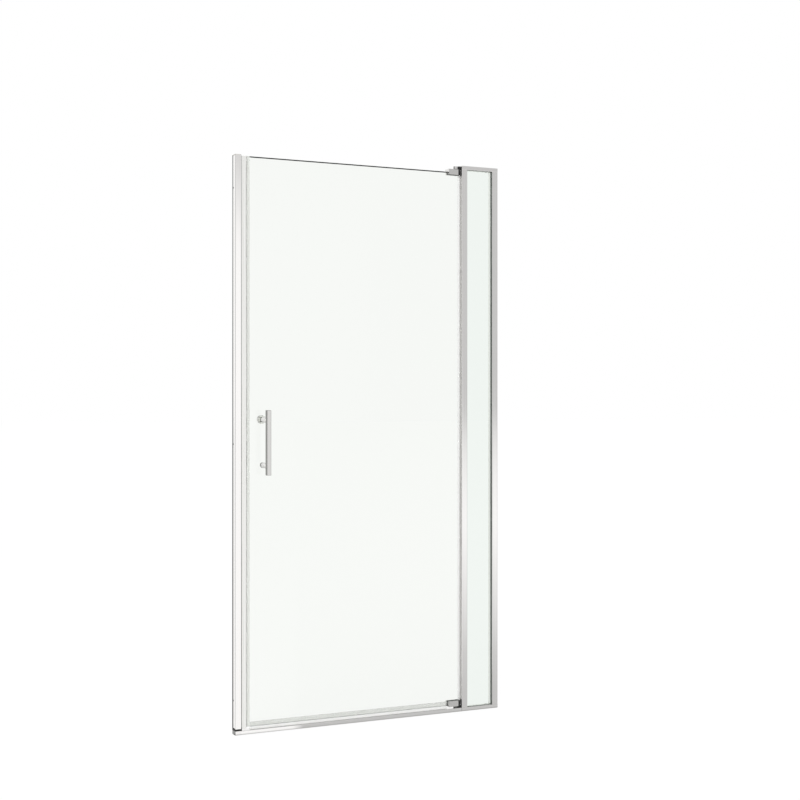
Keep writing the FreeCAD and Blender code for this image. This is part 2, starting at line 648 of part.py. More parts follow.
def corner_keys():
    """Two keys inside the right channel, screwed to it and to the rails."""
    half = f"({BACK_IN} - {size('slide_gap')})"
    spans = [
        ("corner_key_bottom", WALL, f"{WALL} + {size('key_tall')}"),
        ("corner_key_top", f"{TOP} - {WALL} - {size('key_tall')}", f"{TOP} - {WALL}"),
    ]
    keys = []
    for (label, low, high), channel_z, rail_z in zip(spans, KEY_SCREWS, RAIL_SCREWS):
        block = box(label + "_block", (KEY_LEFT, f"-{half}", low), (KEY_RIGHT, half, high))
        bores = [
            rod(f"{label}_bore_{n}", "y", (KEY_X, "0", z), BACK, size("screw_r"))
            for n, z in enumerate((channel_z, rail_z))
        ]
        keys.append(cut(label, block, fuse(label + "_bores", bores)))
    group("corner_keys", keys)
    screws = [
        pan_screw(f"corner_key_screw_{n}", KEY_X, z)
        for n, z in enumerate(KEY_SCREWS + RAIL_SCREWS)
    ]
    group("corner_key_screws", screws)


def fixed_glass():
    """Tempered pane held by the post, the right channel and the rails."""
    body = new_body("fixed_glass")
    outline = rectangle(FIXED_LEFT, FIXED_LOW, FIXED_RIGHT, FIXED_HIGH)
    pad(body, "y", [outline], GLASS_FRONT, GLASS_BACK)
    dress(body, "Chamfer", "arris", lambda edge: not runs_along(edge, "y"))


def glazing_gaskets():
    """Dark gasket in front of the fixed glass and aluminium bead behind it, on all sides."""
    inset = size("gasket_set")
    short = size("gasket_short")
    spans = {
        "post": (FIXED_LEFT, SILL, f"{POST_RIGHT} - {inset}", RAIL),
        "jamb": (f"{JAMB} + {inset}", SILL, FIXED_RIGHT, RAIL),
        "bottom": (FIXED_LEFT, f"{FIXED_LOW} + {short}", FIXED_RIGHT, f"{SILL} - {inset}"),
        "top": (FIXED_LEFT, f"{RAIL} + {inset}", FIXED_RIGHT, f"{FIXED_HIGH} - {short}"),
    }
    for side, (left, low, right, high) in spans.items():
        parts.append(box(f"{side}_glazing_gasket", (left, FRONT_IN, low),
                         (right, GLASS_FRONT, high)))
        parts.append(box(f"{side}_glazing_bead", (left, GLASS_BACK, low),
                         (right, BACK_IN, high)))


def setting_blocks():
    """Two blocks that carry the fixed glass on the bottom rail's web."""
    half = f"({size('glass_thick')} / 2 + {size('pad_thick')})"
    starts = [
        f"({FIXED_LEFT} + {size('block_in')})",
        f"({FIXED_RIGHT} - {size('block_in')} - {size('block_long')})",
    ]
    blocks = [
        box(f"setting_block_{n}", (x, f"-{half}", WALL),
            (f"{x} + {size('block_long')}", half, FIXED_LOW))
        for n, x in enumerate(starts)
    ]
    group("setting_blocks", blocks)


# ------------------------------------------------------------------ pivot arms

LEG_LEFT = f"({POST} + {WALL} + {size('slide_gap')})"
LEG_RIGHT = f"({POST_CELL} - {size('slide_gap')})"
LEG_X = f"(({LEG_LEFT} + {LEG_RIGHT}) / 2)"
BOTTOM_LEG_HIGH = f"({SILL} + {size('leg_tall')})"
TOP_LEG_LOW = f"({RAIL} - {size('leg_tall')})"
LEG_SCREWS = [
    f"({SILL} + {size('leg_screw_first')})",
    f"({SILL} + {size('leg_screw_first')} + {size('leg_screw_pitch')})",
    f"({RAIL} - {size('leg_screw_first')})",
    f"({RAIL} - {size('leg_screw_first')} - {size('leg_screw_pitch')})",
]


def pivot_arm(label, low, high, leg_low, leg_high, screws):
    """Arm with a round nose on the pivot axis and a leg inside the post's cell."""
    body = new_body(label)
    half = f"({size('arm_wide')} / 2)"
    pad(body, "z", [rectangle(AXIS, f"-{half}", LEG_RIGHT, half)], low, high)
    pad(body, "z", [circle(AXIS, "0", half)], low, high)
    leg = f"({BACK_IN} - {size('slide_gap')})"
    pad(body, "z", [rectangle(LEG_LEFT, f"-{leg}", LEG_RIGHT, leg)], leg_low, leg_high)
    pocket(body, "z", [circle(AXIS, "0", size("pin_r"))], low, high)
    holes = [circle(LEG_X, z, size("screw_r")) for z in screws]
    pocket(body, "y", holes, "0", BACK)


def pivot_arms():
    """Top arm in the top rail's open end and bottom arm on the sill, both held in the post."""
    pivot_arm("bottom_pivot_arm", SILL, BOTTOM_ARM_HIGH, SILL, BOTTOM_LEG_HIGH, LEG_SCREWS[:2])
    pivot_arm("top_pivot_arm", TOP_ARM_LOW, TOP_ARM_HIGH, TOP_LEG_LOW, TOP_ARM_HIGH,
              LEG_SCREWS[2:])
    screws = [pan_screw(f"arm_screw_{n}", LEG_X, z) for n, z in enumerate(LEG_SCREWS)]
    group("arm_screws", screws)


def arm_collar(label, low, high, arm_low, arm_high):
    """Black collar that hides the gap round an arm where it leaves the post."""
    half = f"({size('collar_wide')} / 2)"
    arm = f"({size('arm_wide')} / 2)"
    left = f"({POST} - {size('collar_long')})"
    block = box(label + "_block", (left, f"-{half}", low), (POST, half, high))
    room = box(label + "_room", (f"{left} - 1", f"-{arm}", arm_low), (f"{POST} + 1", arm, arm_high))
    parts.append(cut(label, block, room))


def arm_collars():
    """The two collars: each open on the side away from the door."""
    floor = size("collar_floor")
    arm_collar("bottom_arm_collar", SILL, f"{BOTTOM_ARM_HIGH} + {floor} / 2",
               f"{SILL} - 1", BOTTOM_ARM_HIGH)
    arm_collar("top_arm_collar", f"{TOP_ARM_LOW} - {floor}", TOP_ARM_HIGH,
               TOP_ARM_LOW, f"{TOP_ARM_HIGH} + 1")


def pivot_pins():
    """Steel pins pressed into the arms' noses."""
    low = f"({TOP_BORE_LOW} + {size('pin_end_gap')})"
    parts.append(rod("top_pivot_pin", "z", (AXIS, "0", low), f"{TOP_ARM_HIGH} - {low}",
                     size("pin_r")))
    length = f"{BOTTOM_BORE_HIGH} - {size('pin_end_gap')} - {SILL}"
    parts.append(rod("bottom_pivot_pin", "z", (AXIS, "0", SILL), length, size("pin_r")))


# ------------------------------------------------------------------ hinges on the glass

TOP_NOTCH = f"({TOP_CLAMP_LOW} + {size('notch_cover')})"
BOTTOM_NOTCH = f"({BOTTOM_CLAMP_HIGH} - {size('notch_cover')})"
TOP_BORE_LOW = f"({TOP_NOTCH} + {size('pad_thick')})"
BOTTOM_BORE_HIGH = f"({BOTTOM_NOTCH} - {size('pad_thick')})"
CLAMP_SCREW_X = f"({AXIS} - {size('clamp_screw_in')})"

# For each hinge: clamp from and to, glass edge with the bridge's clearance, bridge, notch,
# the bore's inner end, flange, and where the clamp screw sits.
HINGES = {
    "top": {
        "low": TOP_CLAMP_LOW,
        "high": TOP_CLAMP_HIGH,
        "over": (f"{GLASS_HIGH} + {size('pad_thick')}", TOP_CLAMP_HIGH),
        "bridge": (TOP_BORE_LOW, TOP_CLAMP_HIGH),
        "pad": (f"{TOP_CLAMP_LOW} - {size('pad_proud')}", GLASS_HIGH),
        "pad_notch": (TOP_BORE_LOW, f"{GLASS_HIGH} + 1"),
        "glass": (f"{TOP_CLAMP_LOW} - 10", TOP_NOTCH),
        "cover_room": (f"{TOP_CLAMP_LOW} - 1", TOP_BORE_LOW),
        "bore": (TOP_BORE_LOW, TOP_CLAMP_HIGH),
        "flange": (TOP_CLAMP_HIGH, f"{TOP_ARM_LOW} - {size('thrust_gap')}"),
    },
    "bottom": {
        "low": BOTTOM_CLAMP_LOW,
        "high": BOTTOM_CLAMP_HIGH,
        "over": (BOTTOM_CLAMP_LOW, f"{GLASS_LOW} - {size('pad_thick')}"),
        "bridge": (BOTTOM_CLAMP_LOW, BOTTOM_BORE_HIGH),
        "pad": (GLASS_LOW, f"{BOTTOM_CLAMP_HIGH} + {size('pad_proud')}"),
        "pad_notch": (f"{GLASS_LOW} - 1", BOTTOM_BORE_HIGH),
        "glass": (BOTTOM_NOTCH, f"{BOTTOM_CLAMP_HIGH} + 10"),
        "cover_room": (BOTTOM_BORE_HIGH, f"{BOTTOM_CLAMP_HIGH} + 1"),
        "bore": (BOTTOM_CLAMP_LOW, BOTTOM_BORE_HIGH),
        "flange": (f"{BOTTOM_ARM_HIGH} + {size('thrust_gap')}", BOTTOM_CLAMP_LOW),
    },
}


def outer_clamp(side, hinge):
    """Outside half of a hinge clamp, with the bridge that fills the glass notch."""
    body = new_body(f"{side}_hinge_outer_clamp")
    low, high = hinge["low"], hinge["high"]
    screw_z = f"(({low}) + ({high})) / 2"
    pad(body, "y", [rectangle(CLAMP_LEFT, low, CLAMP_RIGHT, high)], FRONT, PAD_FRONT)
    dress(body, "Fillet", "clamp_round",
          lambda edge: edge.CenterOfMass.y < -sheet.get("glass_thick"))
    pad(body, "y", [rectangle(CLAMP_LEFT, hinge["over"][0], CLAMP_RIGHT, hinge["over"][1])],
        PAD_FRONT, PAD_BACK)
    pad(body, "y", [rectangle(BRIDGE, hinge["bridge"][0], CLAMP_RIGHT, hinge["bridge"][1])],
        PAD_FRONT, BRIDGE_BACK)
    bore = f"{size('bush_r')} + {size('bush_fit')}"
    pocket(body, "z", [circle(AXIS, "0", bore)], *hinge["bore"])
    reach = f"{BACK} - {size('clamp_screw_long')}"
    pocket(body, "y", [circle(CLAMP_SCREW_X, screw_z, size("clamp_screw_r"))], reach, BACK)


def inner_clamp(side, hinge):
    """Inside half of a hinge clamp, with room for the bridge and a countersunk screw."""
    body = new_body(f"{side}_hinge_inner_clamp")
    low, high = hinge["low"], hinge["high"]
    pad(body, "y", [rectangle(CLAMP_LEFT, low, CLAMP_RIGHT, high)], PAD_BACK, BACK)
    dress(body, "Fillet", "clamp_round",
          lambda edge: edge.CenterOfMass.y > sheet.get("glass_thick"))
    gap = size("bridge_gap")
    bridge_low, bridge_high = hinge["bridge"]
    room = rectangle(f"{BRIDGE} - {gap}", f"{bridge_low} - {gap}",
                     f"{CLAMP_RIGHT} + 1", f"{bridge_high} + {gap}")
    pocket(body, "y", [room], GLASS_BACK, f"{BRIDGE_BACK} + {gap}")
    screw_z = f"(({low}) + ({high})) / 2"
    pocket(body, "y", [circle(CLAMP_SCREW_X, screw_z, size("clamp_screw_r"))], "0", BACK)
    doc.recompute()
    parts.remove(body)
    sink = rod(f"{side}_clamp_sink", "y", (CLAMP_SCREW_X, SINK_START, screw_z), SINK_DEEP,
               (size("clamp_screw_r"), size("clamp_screw_head_r")), "Cone")
    body.Label = f"{side}_hinge_inner_clamp_body"
    parts.append(cut(f"{side}_hinge_inner_clamp", body, sink))


SINK_DEEP = f"({size('clamp_screw_head_r')} - {size('clamp_screw_r')})"
SINK_START = f"({BACK} - {SINK_DEEP})"


def clamp_screw(side, hinge):
    """Countersunk screw that draws the two halves of a clamp together."""
    screw_z = f"((({hinge['low']}) + ({hinge['high']})) / 2)"
    start = f"({BACK} - {size('clamp_screw_long')})"
    shank = rod(f"{side}_clamp_shank", "y", (CLAMP_SCREW_X, start, screw_z),
                f"{SINK_START} - {start}", size("clamp_screw_r"))
    head = rod(f"{side}_clamp_head", "y", (CLAMP_SCREW_X, SINK_START, screw_z), SINK_DEEP,
               (size("clamp_screw_r"), size("clamp_screw_head_r")), "Cone")
    socket = doc.addObject("Part::Prism", f"{side}_clamp_socket")
    socket.Polygon = 6
    socket.setExpression("Circumradius", size("drive_r"))
    socket.setExpression("Height", size("drive_deep"))
    turn = FreeCAD.Rotation(FreeCAD.Vector(1, 0, 0), -90)
    socket.Placement = FreeCAD.Placement(FreeCAD.Vector(0, 0, 0), turn)
    place(socket, CLAMP_SCREW_X, f"{BACK} - {size('drive_deep')}", screw_z)
    blank = fuse(f"{side}_clamp_blank", [shank, head])
    parts.append(cut(f"{side}_hinge_clamp_screw", blank, socket))


def hinge_pad(side, hinge):
    """Black rubber pad on both faces of the glass and round its notch."""
    body = new_body(f"{side}_hinge_pad")
    low, high = hinge["pad"]
    left = f"({CLAMP_LEFT} - {size('pad_proud')})"
    pad(body, "y", [rectangle(left, low, GLASS_RIGHT, high)], PAD_FRONT, PAD_BACK)
    notch_low, notch_high = hinge["pad_notch"]
    corner = rectangle(BRIDGE, notch_low, f"{GLASS_RIGHT} + 1", notch_high)
    pocket(body, "y", [corner], f"2 * {PAD_FRONT}", f"2 * {PAD_BACK}")
    # the glass itself: left of the notch, and past the notch's inner edge
    pocket(body, "y", [rectangle(f"{left} - 1", f"{low} - 1", NOTCH, f"{high} + 1")],
           GLASS_FRONT, GLASS_BACK)
    glass_low, glass_high = hinge["glass"]
    inner = rectangle(f"{NOTCH} - 1", glass_low, f"{GLASS_RIGHT} + 1", glass_high)
    pocket(body, "y", [inner], GLASS_FRONT, GLASS_BACK)


def end_cover(side, hinge):
    """Black cover over the clamp's open end, straddling the glass beside the notch."""
    body = new_body(f"{side}_hinge_end_cover")
    half = f"({size('end_cover_wide')} / 2)"
    outline = rectangle(CLAMP_RIGHT, f"-{half}", COVER_RIGHT, half)
    pad(body, "z", [outline], hinge["low"], hinge["high"])
    dress(body, "Fillet", "end_cover_round",
          lambda edge: runs_along(edge, "z") and edge.CenterOfMass.x > body.Shape.CenterOfMass.x)
    low, high = hinge["cover_room"]
    pocket(body, "y", [rectangle(f"{CLAMP_RIGHT} - 1", low, GLASS_RIGHT, high)],
           PAD_FRONT, PAD_BACK)


def pivot_bush(side, hinge):
    """Black nylon bush in the clamp's bridge, flanged towards the arm."""
    body = new_body(f"{side}_pivot_bush")
    low, high = hinge["bore"]
    pad(body, "z", [circle(AXIS, "0", size("bush_r"))], low, high)
    flange_low, flange_high = hinge["flange"]
    pad(body, "z", [circle(AXIS, "0", size("bush_flange_r"))], flange_low, flange_high)
    bore = f"{size('pin_r')} + {size('bush_play')}"
    pocket(body, "z", [circle(AXIS, "0", bore)], f"{low} - {size('leg_tall')}",
           f"{high} + {size('leg_tall')}")


def hinges():
    """Both pivot hinges."""
    for side, hinge in HINGES.items():
        outer_clamp(side, hinge)
        inner_clamp(side, hinge)
        clamp_screw(side, hinge)
        hinge_pad(side, hinge)
        end_cover(side, hinge)
        pivot_bush(side, hinge)


# ------------------------------------------------------------------ door


def door_glass():
    """Tempered door pane with a corner notch at each hinge and two handle holes."""
    body = new_body("door_glass")
    outline = [
        (GLASS_LEFT, GLASS_LOW), (NOTCH, GLASS_LOW), (NOTCH, BOTTOM_NOTCH),
        (GLASS_RIGHT, BOTTOM_NOTCH), (GLASS_RIGHT, TOP_NOTCH), (NOTCH, TOP_NOTCH),
        (NOTCH, GLASS_HIGH), (GLASS_LEFT, GLASS_HIGH),
    ]
    holes = [circle(HANDLE, z, size("glass_hole_r")) for z in (HANDLE_LOW, HANDLE_HIGH)]
    pad(body, "y", [outline] + holes, GLASS_FRONT, GLASS_BACK)
    plain = ("x", "z")
    dress(body, "Chamfer", "arris", lambda edge: any(runs_along(edge, a) for a in plain))


def magnetic_seal():
    """Clear seal on the glass's closing edge, with a pocket that holds a magnet."""
    body = new_body("door_magnetic_seal")
    front = f"({GLASS_LEFT} - {size('magnet_pocket')})"
    shoulder = f"({GLASS_LEFT} - {size('pocket_wall')})"
    tip = f"({GLASS_LEFT} + {size('side_lip')})"
    half = f"({size('magnet_pocket_wide')} / 2)"
    outer = [
        (front, f"-{half}"), (shoulder, f"-{half}"), (shoulder, LIP_FRONT), (tip, LIP_FRONT),
        (tip, GLASS_FRONT), (GLASS_LEFT, GLASS_FRONT), (GLASS_LEFT, GLASS_BACK),
        (tip, GLASS_BACK), (tip, LIP_BACK), (shoulder, LIP_BACK), (shoulder, half),
        (front, half),
    ]
    thin = size("pocket_wall")
    magnet = rectangle(f"{front} + {thin}", f"-{half} + {thin}", f"{shoulder} - {thin}",
                       f"{half} - {thin}")
    pad(body, "z", [outer], GLASS_LOW, GLASS_HIGH)
    pocket(body, "z", [magnet], f"{GLASS_LOW} - 1", f"{GLASS_HIGH} + 1")
    parts.append(box("door_magnet", (magnet[0][0], magnet[0][1], GLASS_LOW),
                     (magnet[2][0], magnet[2][1], GLASS_HIGH)))


def bottom_seal():
    """Clear seal clipped under the glass, with a sweep that leans out over the sill."""
    body = new_body("door_bottom_seal")
    base = f"({GLASS_LOW} - {size('lip_thick')})"
    tip = f"({GLASS_LOW} + {size('bottom_lip')})"
    end = f"({SILL} + {size('sweep_gap')})"
    half = f"({size('sweep_thick')} / 2)"
    lean = size("sweep_lean")
    outline = [
        (LIP_FRONT, base), (f"-{half}", base), (f"-{half} - {lean}", end),
        (f"{half} - {lean}", end), (half, base), (LIP_BACK, base), (LIP_BACK, tip),
        (GLASS_BACK, tip), (GLASS_BACK, GLASS_LOW), (GLASS_FRONT, GLASS_LOW),
        (GLASS_FRONT, tip), (LIP_FRONT, tip),
    ]
    start = f"({GLASS_LEFT} + {size('side_lip')})"
    stop = f"({CLAMP_LEFT} - {size('pad_proud')} - {size('sweep_gap')})"
    pad(body, "x", [outline], start, stop)


def hinge_side_seal():
    """Clear seal on the glass's hinge edge, with a fin towards the post."""
    body = new_body("door_hinge_side_seal")
    root = f"({GLASS_RIGHT} + {size('lip_thick')})"
    back = f"({GLASS_RIGHT} - {size('hinge_lip')})"
    fin = f"({POST} - {size('sweep_gap')})"
    half = f"({size('fin_thick')} / 2)"
    outline = [
        (back, LIP_FRONT), (root, LIP_FRONT), (root, f"-{half}"), (fin, f"-{half}"),
        (fin, half), (root, half), (root, LIP_BACK), (back, LIP_BACK), (back, GLASS_BACK),
        (GLASS_RIGHT, GLASS_BACK), (GLASS_RIGHT, GLASS_FRONT), (back, GLASS_FRONT),
    ]
    low = f"({BOTTOM_CLAMP_HIGH} + {size('pad_proud')} + {size('sweep_gap')})"
    high = f"({TOP_CLAMP_LOW} - {size('pad_proud')} - {size('sweep_gap')})"
    pad(body, "z", [outline], low, high)


# ------------------------------------------------------------------ handle


def handle_bar():
    """Upright rectangular bar with softened edges."""
    body = new_body("handle_bar")
    half = f"({size('bar_wide')} / 2)"
    outline = rectangle(f"{HANDLE} - {half}", BAR_FRONT, f"{HANDLE} + {half}", BAR_BACK)
    middle = size("handle_mid")
    reach = f"({size('bar_long')} / 2)"
    pad(body, "z", [outline], f"{middle} - {reach}", f"{middle} + {reach}")
    dress(body, "Fillet", "bar_round", lambda edge: True)


def handle_fixings():
    """Standoffs, washers, sleeves and studs, two of each."""
    names = {"standoff": [], "outer_washer": [], "inner_washer": [], "sleeve": [], "stud": []}
    nut_end = f"({WASHER_BACK} + {size('nut_bite')})"
    knob_end = f"({WASHER_BACK} + {size('stud_bite')})"
    for n, (z, end) in enumerate(((HANDLE_LOW, nut_end), (HANDLE_HIGH, knob_end))):
        stud_start = f"({WASHER_FRONT} - {size('stud_bite')})"
        bore = rod(f"handle_bore_{n}", "y", (HANDLE, stud_start, z), f"{end} - {stud_start}",
                   size("stud_r"))
        post = rod(f"handle_standoff_{n}_blank", "y", (HANDLE, BAR_BACK, z),
                   f"{WASHER_FRONT} - {BAR_BACK}", size("standoff_r"))
        names["standoff"].append(cut(f"handle_standoff_{n}", post, bore))
        for name, start in (("outer_washer", WASHER_FRONT), ("inner_washer", GLASS_BACK)):
            disc = rod(f"handle_{name}_{n}_blank", "y", (HANDLE, start, z),
                       size("washer_thick"), size("standoff_r"))
            names[name].append(cut(f"handle_{name}_{n}", disc, bore))
        tube = rod(f"handle_sleeve_{n}_blank", "y", (HANDLE, GLASS_FRONT, z),
                   size("glass_thick"), size("glass_hole_r"))
        names["sleeve"].append(cut(f"handle_sleeve_{n}", tube, bore))
        names["stud"].append(rod(f"handle_stud_{n}", "y", (HANDLE, stud_start, z),
                                 f"{end} - {stud_start}", size("stud_r")))
    for name, solids in names.items():
        group(f"handle_{name}s", solids)


def inside_fixings():
    """Round knob on the upper stud and flat cap nut on the lower one, inside the shower."""
    knob = new_body("inside_knob")
    neck_end = f"({WASHER_BACK} + {size('knob_neck')})"
    head_end = f"({neck_end} + {size('knob_head')})"
    pad(knob, "y", [circle(HANDLE, HANDLE_HIGH, size("standoff_r"))], WASHER_BACK, neck_end)
    pad(knob, "y", [circle(HANDLE, HANDLE_HIGH, size("knob_r"))], neck_end, head_end)
    dress(knob, "Fillet", "knob_round", lambda edge: is_round(edge, "y", "knob_r"))
    pocket(knob, "y", [circle(HANDLE, HANDLE_HIGH, size("stud_r"))], GLASS_BACK,
           f"{WASHER_BACK} + {size('stud_bite')}")

    nut = new_body("inside_cap_nut")
    nut_end = f"({WASHER_BACK} + {size('nut_thick')})"
    pad(nut, "y", [circle(HANDLE, HANDLE_LOW, size("standoff_r"))], WASHER_BACK, nut_end)
    dress(nut, "Fillet", "nut_round",
          lambda edge: is_round(edge, "y", "standoff_r")
          and edge.CenterOfMass.y > nut.Shape.CenterOfMass.y)
    pocket(nut, "y", [circle(HANDLE, HANDLE_LOW, size("stud_r"))], GLASS_BACK,
           f"{WASHER_BACK} + {size('nut_bite')}")


# ------------------------------------------------------------------ the whole door

left_wall_channel()
strike_profile()
strike_strip()
left_channel_ends()
profile_screws()
sill()
sill_end_cap()
rails()
sill_coupler()
pivot_post()
right_wall_channel()
corner_keys()
fixed_glass()
glazing_gaskets()
setting_blocks()
pivot_arms()
arm_collars()
pivot_pins()
hinges()
door_glass()
magnetic_seal()
bottom_seal()
hinge_side_seal()
handle_bar()
handle_fixings()
inside_fixings()

doc.recompute()
for item in doc.Objects:
    if "Invalid" in item.State or "Error" in item.State:
        raise RuntimeError(f"{item.Label}: {item.State}")
for item in parts:
    if item.Shape.isNull() or not item.Shape.isValid():
        raise RuntimeError(f"{item.Label}: bad shape")

os.makedirs("parts", exist_ok=True)
for item in parts:
    item.Shape.exportStep(f"parts/{item.Label}.step")
print(len(parts), "sub-parts written")
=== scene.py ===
"""Finishes, fastenings, seals and studio for a pivot shower door with a narrow fixed panel."""

import math

import bmesh
import bpy
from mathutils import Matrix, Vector


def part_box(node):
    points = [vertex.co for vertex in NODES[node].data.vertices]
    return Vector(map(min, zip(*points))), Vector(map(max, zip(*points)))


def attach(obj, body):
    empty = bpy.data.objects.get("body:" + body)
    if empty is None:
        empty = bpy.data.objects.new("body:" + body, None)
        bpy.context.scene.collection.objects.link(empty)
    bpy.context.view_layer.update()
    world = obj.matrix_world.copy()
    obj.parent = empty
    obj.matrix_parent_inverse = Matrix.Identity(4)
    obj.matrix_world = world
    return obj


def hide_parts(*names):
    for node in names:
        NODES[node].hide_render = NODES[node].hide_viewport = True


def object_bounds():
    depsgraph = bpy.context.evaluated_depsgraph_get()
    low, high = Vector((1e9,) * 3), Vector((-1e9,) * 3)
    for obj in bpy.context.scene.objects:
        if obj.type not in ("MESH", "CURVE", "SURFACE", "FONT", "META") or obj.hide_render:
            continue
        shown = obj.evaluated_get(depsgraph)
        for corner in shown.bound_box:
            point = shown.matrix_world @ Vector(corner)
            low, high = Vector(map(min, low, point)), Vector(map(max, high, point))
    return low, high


bl_info = {
    "name": "Pivot shower door",
    "version": (1, 0, 0),
    "blender": (4, 5, 0),
    "location": "View3D > Sidebar > Shower Door",
    "description": "Finishes a framed pivot shower door and sets it in a plain studio",
    "category": "Object",
}

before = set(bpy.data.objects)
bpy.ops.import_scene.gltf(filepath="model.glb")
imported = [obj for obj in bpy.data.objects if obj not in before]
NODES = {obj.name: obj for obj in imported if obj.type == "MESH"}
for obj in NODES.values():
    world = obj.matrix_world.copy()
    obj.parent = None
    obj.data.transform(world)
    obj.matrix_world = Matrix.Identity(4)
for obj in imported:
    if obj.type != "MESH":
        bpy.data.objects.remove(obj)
CAD_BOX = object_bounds()
MM = 0.001
# vertices closer than this are one
WELD = 0.001 * MM
# what a noise node's values mostly lie between
NOISE = (0.3, 0.7)

# ------------------------------------------------------------------ helpers


def linear(hex_colour):
    """The linear RGBA of an sRGB hex colour such as #c0ffee."""
    levels = [int(hex_colour[i:i + 2], 16) / 255 for i in (1, 3, 5)]
    linear_levels = [c / 12.92 if c <= 0.04045 else ((c + 0.055) / 1.055) ** 2.4 for c in levels]
    return (*linear_levels, 1.0)


def add_node(tree, kind, links=None, values=None, **settings):
    """Add a node with its settings, its sockets' values and links from other nodes' outputs."""
    made = tree.nodes.new(kind)
    for name, value in settings.items():
        setattr(made, name, value)
    for socket, value in (values or {}).items():
        made.inputs[socket].default_value = value
    for socket, sources in (links or {}).items():
        for source in sources if isinstance(sources, list) else [sources]:
            tree.links.new(source, made.inputs[socket])
    return made


def set_stops(ramp, stops):
    """Give a colour ramp its stops, as (place, linear colour) from the lowest up."""
    stops = list(stops)
    while len(ramp.elements) < len(stops):
        ramp.elements.new(0.5)
    for element, (place, colour) in zip(ramp.elements, stops):
        element.position = place
        element.color = colour


def empty_material(name):
    """A material without nodes, and its tree."""
    material = bpy.data.materials.new(name)
    material.use_nodes = True
    material.node_tree.nodes.clear()
    return material, material.node_tree


# the share of its shine that a coated pane or clear vinyl keeps, as a specular tint
KEPT_SHINE = linear("#aaaaaa")
# a seam is the way to it, its distance that way, and its colours at the floor and at the top
NO_SEAM = ((0.0, 0.0, 0.0), 1.0, (linear("#000000"),) * 2)


def grained(name, grain_mm, tones, gloss, relief_mm, detail=2.0, seam=NO_SEAM, **shader):
    """A material whose grain, of a given size along X, Y and Z, shifts its colour between two
    tones and its roughness over a range, and stands out by a relief. Beyond a seam it takes the
    seam's colours."""
    material, tree = empty_material(name)
    place = add_node(tree, "ShaderNodeTexCoord")
    scaled = add_node(tree, "ShaderNodeMapping", {"Vector": place.outputs["Object"]},
                      {"Scale": [1.0 / (size * MM) for size in grain_mm]})
    noise = add_node(tree, "ShaderNodeTexNoise", {"Vector": scaled.outputs["Vector"]},
                     {"Scale": 1.0, "Detail": detail})
    tone = add_node(tree, "ShaderNodeValToRGB", {"Fac": noise.outputs["Fac"]})
    set_stops(tone.color_ramp, zip(NOISE, tones))
    way, limit, seam_colours = seam
    spot = add_node(tree, "ShaderNodeSeparateXYZ", {"Vector": place.outputs["Object"]})
    height = add_node(tree, "ShaderNodeMapRange", {"Value": spot.outputs["Z"]},
                      {"From Min": 0.0, "From Max": CAD_BOX[1][2]})
    seam_colour = add_node(tree, "ShaderNodeMix", {"Factor": height.outputs["Result"]},
                     {6: seam_colours[0], 7: seam_colours[1]}, data_type="RGBA")
    reach = add_node(tree, "ShaderNodeVectorMath", {0: place.outputs["Object"]}, {1: way},
                     operation="DOT_PRODUCT")
    beyond = add_node(tree, "ShaderNodeMath", {0: reach.outputs["Value"]}, {1: limit},
                      operation="GREATER_THAN")
    colour = add_node(tree, "ShaderNodeMix",
                      {"Factor": beyond.outputs[0], 6: tone.outputs["Color"],
                       7: seam_colour.outputs[2]}, data_type="RGBA")
    rough = add_node(tree, "ShaderNodeMapRange", {"Value": noise.outputs["Fac"]}, {
        "From Min": NOISE[0], "From Max": NOISE[1], "To Min": gloss[0], "To Max": gloss[1],
    })
    relief = add_node(tree, "ShaderNodeBump", {"Height": noise.outputs["Fac"]},
                      {"Strength": 1.0, "Distance": relief_mm * MM})
    surface = add_node(tree, "ShaderNodeBsdfPrincipled", {
        "Base Color": colour.outputs[2],
        "Roughness": rough.outputs["Result"],
        "Normal": relief.outputs["Normal"],
    }, shader)
    add_node(tree, "ShaderNodeOutputMaterial", {"Surface": surface.outputs["BSDF"]})
    return material


MATERIALS = {}


def finish(material, *nodes):
    """Give CAD nodes a material in place of their own."""
    for node in nodes:
        slots = NODES[node].data.materials
        slots.clear()
        slots.append(MATERIALS[material])


# ------------------------------------------------------------------ materials


def lines_along(axis, apart_mm, long_mm):
    """The grain of lines that run along an axis."""
    grain = [apart_mm] * 3
    grain["xyz".index(axis)] = long_mm
    return grain


def extruded_aluminium(name, along, tones, seam=NO_SEAM):
    """Bright-dipped, anodised aluminium: a soft mirror with die lines along the extrusion, and
    a grey edge where it has a seam: painted shade along the wall corner, darker towards the
    floor, and the saw's grey at a cut end."""
    # die lines are 0.2 mm apart on the metal and are drawn 1.5 mm apart, so that they show
    return grained(name, lines_along(along, 1.5, 1200.0), tones, gloss=(0.06, 0.12),
                   relief_mm=0.002, detail=3.0, seam=seam, Metallic=1.0)


def satin_aluminium(name, tones, seam):
    """Etched, anodised aluminium: even and pale, because the etch breaks up what it mirrors,
    and darkened with painted shade at the seam beside the channel's edge."""
    # the etch's pits are 0.05 mm apart and are drawn 1 mm apart, so that they show; it is half
    # metallic, because the pits scatter about half of the light
    return grained(name, lines_along("z", 1.0, 600.0), tones, gloss=(0.24, 0.32),
                   relief_mm=0.003, detail=3.0, seam=seam, Metallic=0.5)


def plated(name, tones, seam=NO_SEAM):
    """Chrome, nickel and silver plate on a buffed body, and chrome made dark all over as painted
    shade: a mirror with the buffing's haze, and grey silicone on the end that meets the wall
    where it has a seam."""
    # buffing marks of 0.05 mm are drawn 0.8 mm apart, so that they show
    return grained(name, lines_along("z", 0.8, 2.4), tones, gloss=(0.05, 0.12),
                   relief_mm=0.001, detail=3.0, seam=seam, Metallic=1.0)


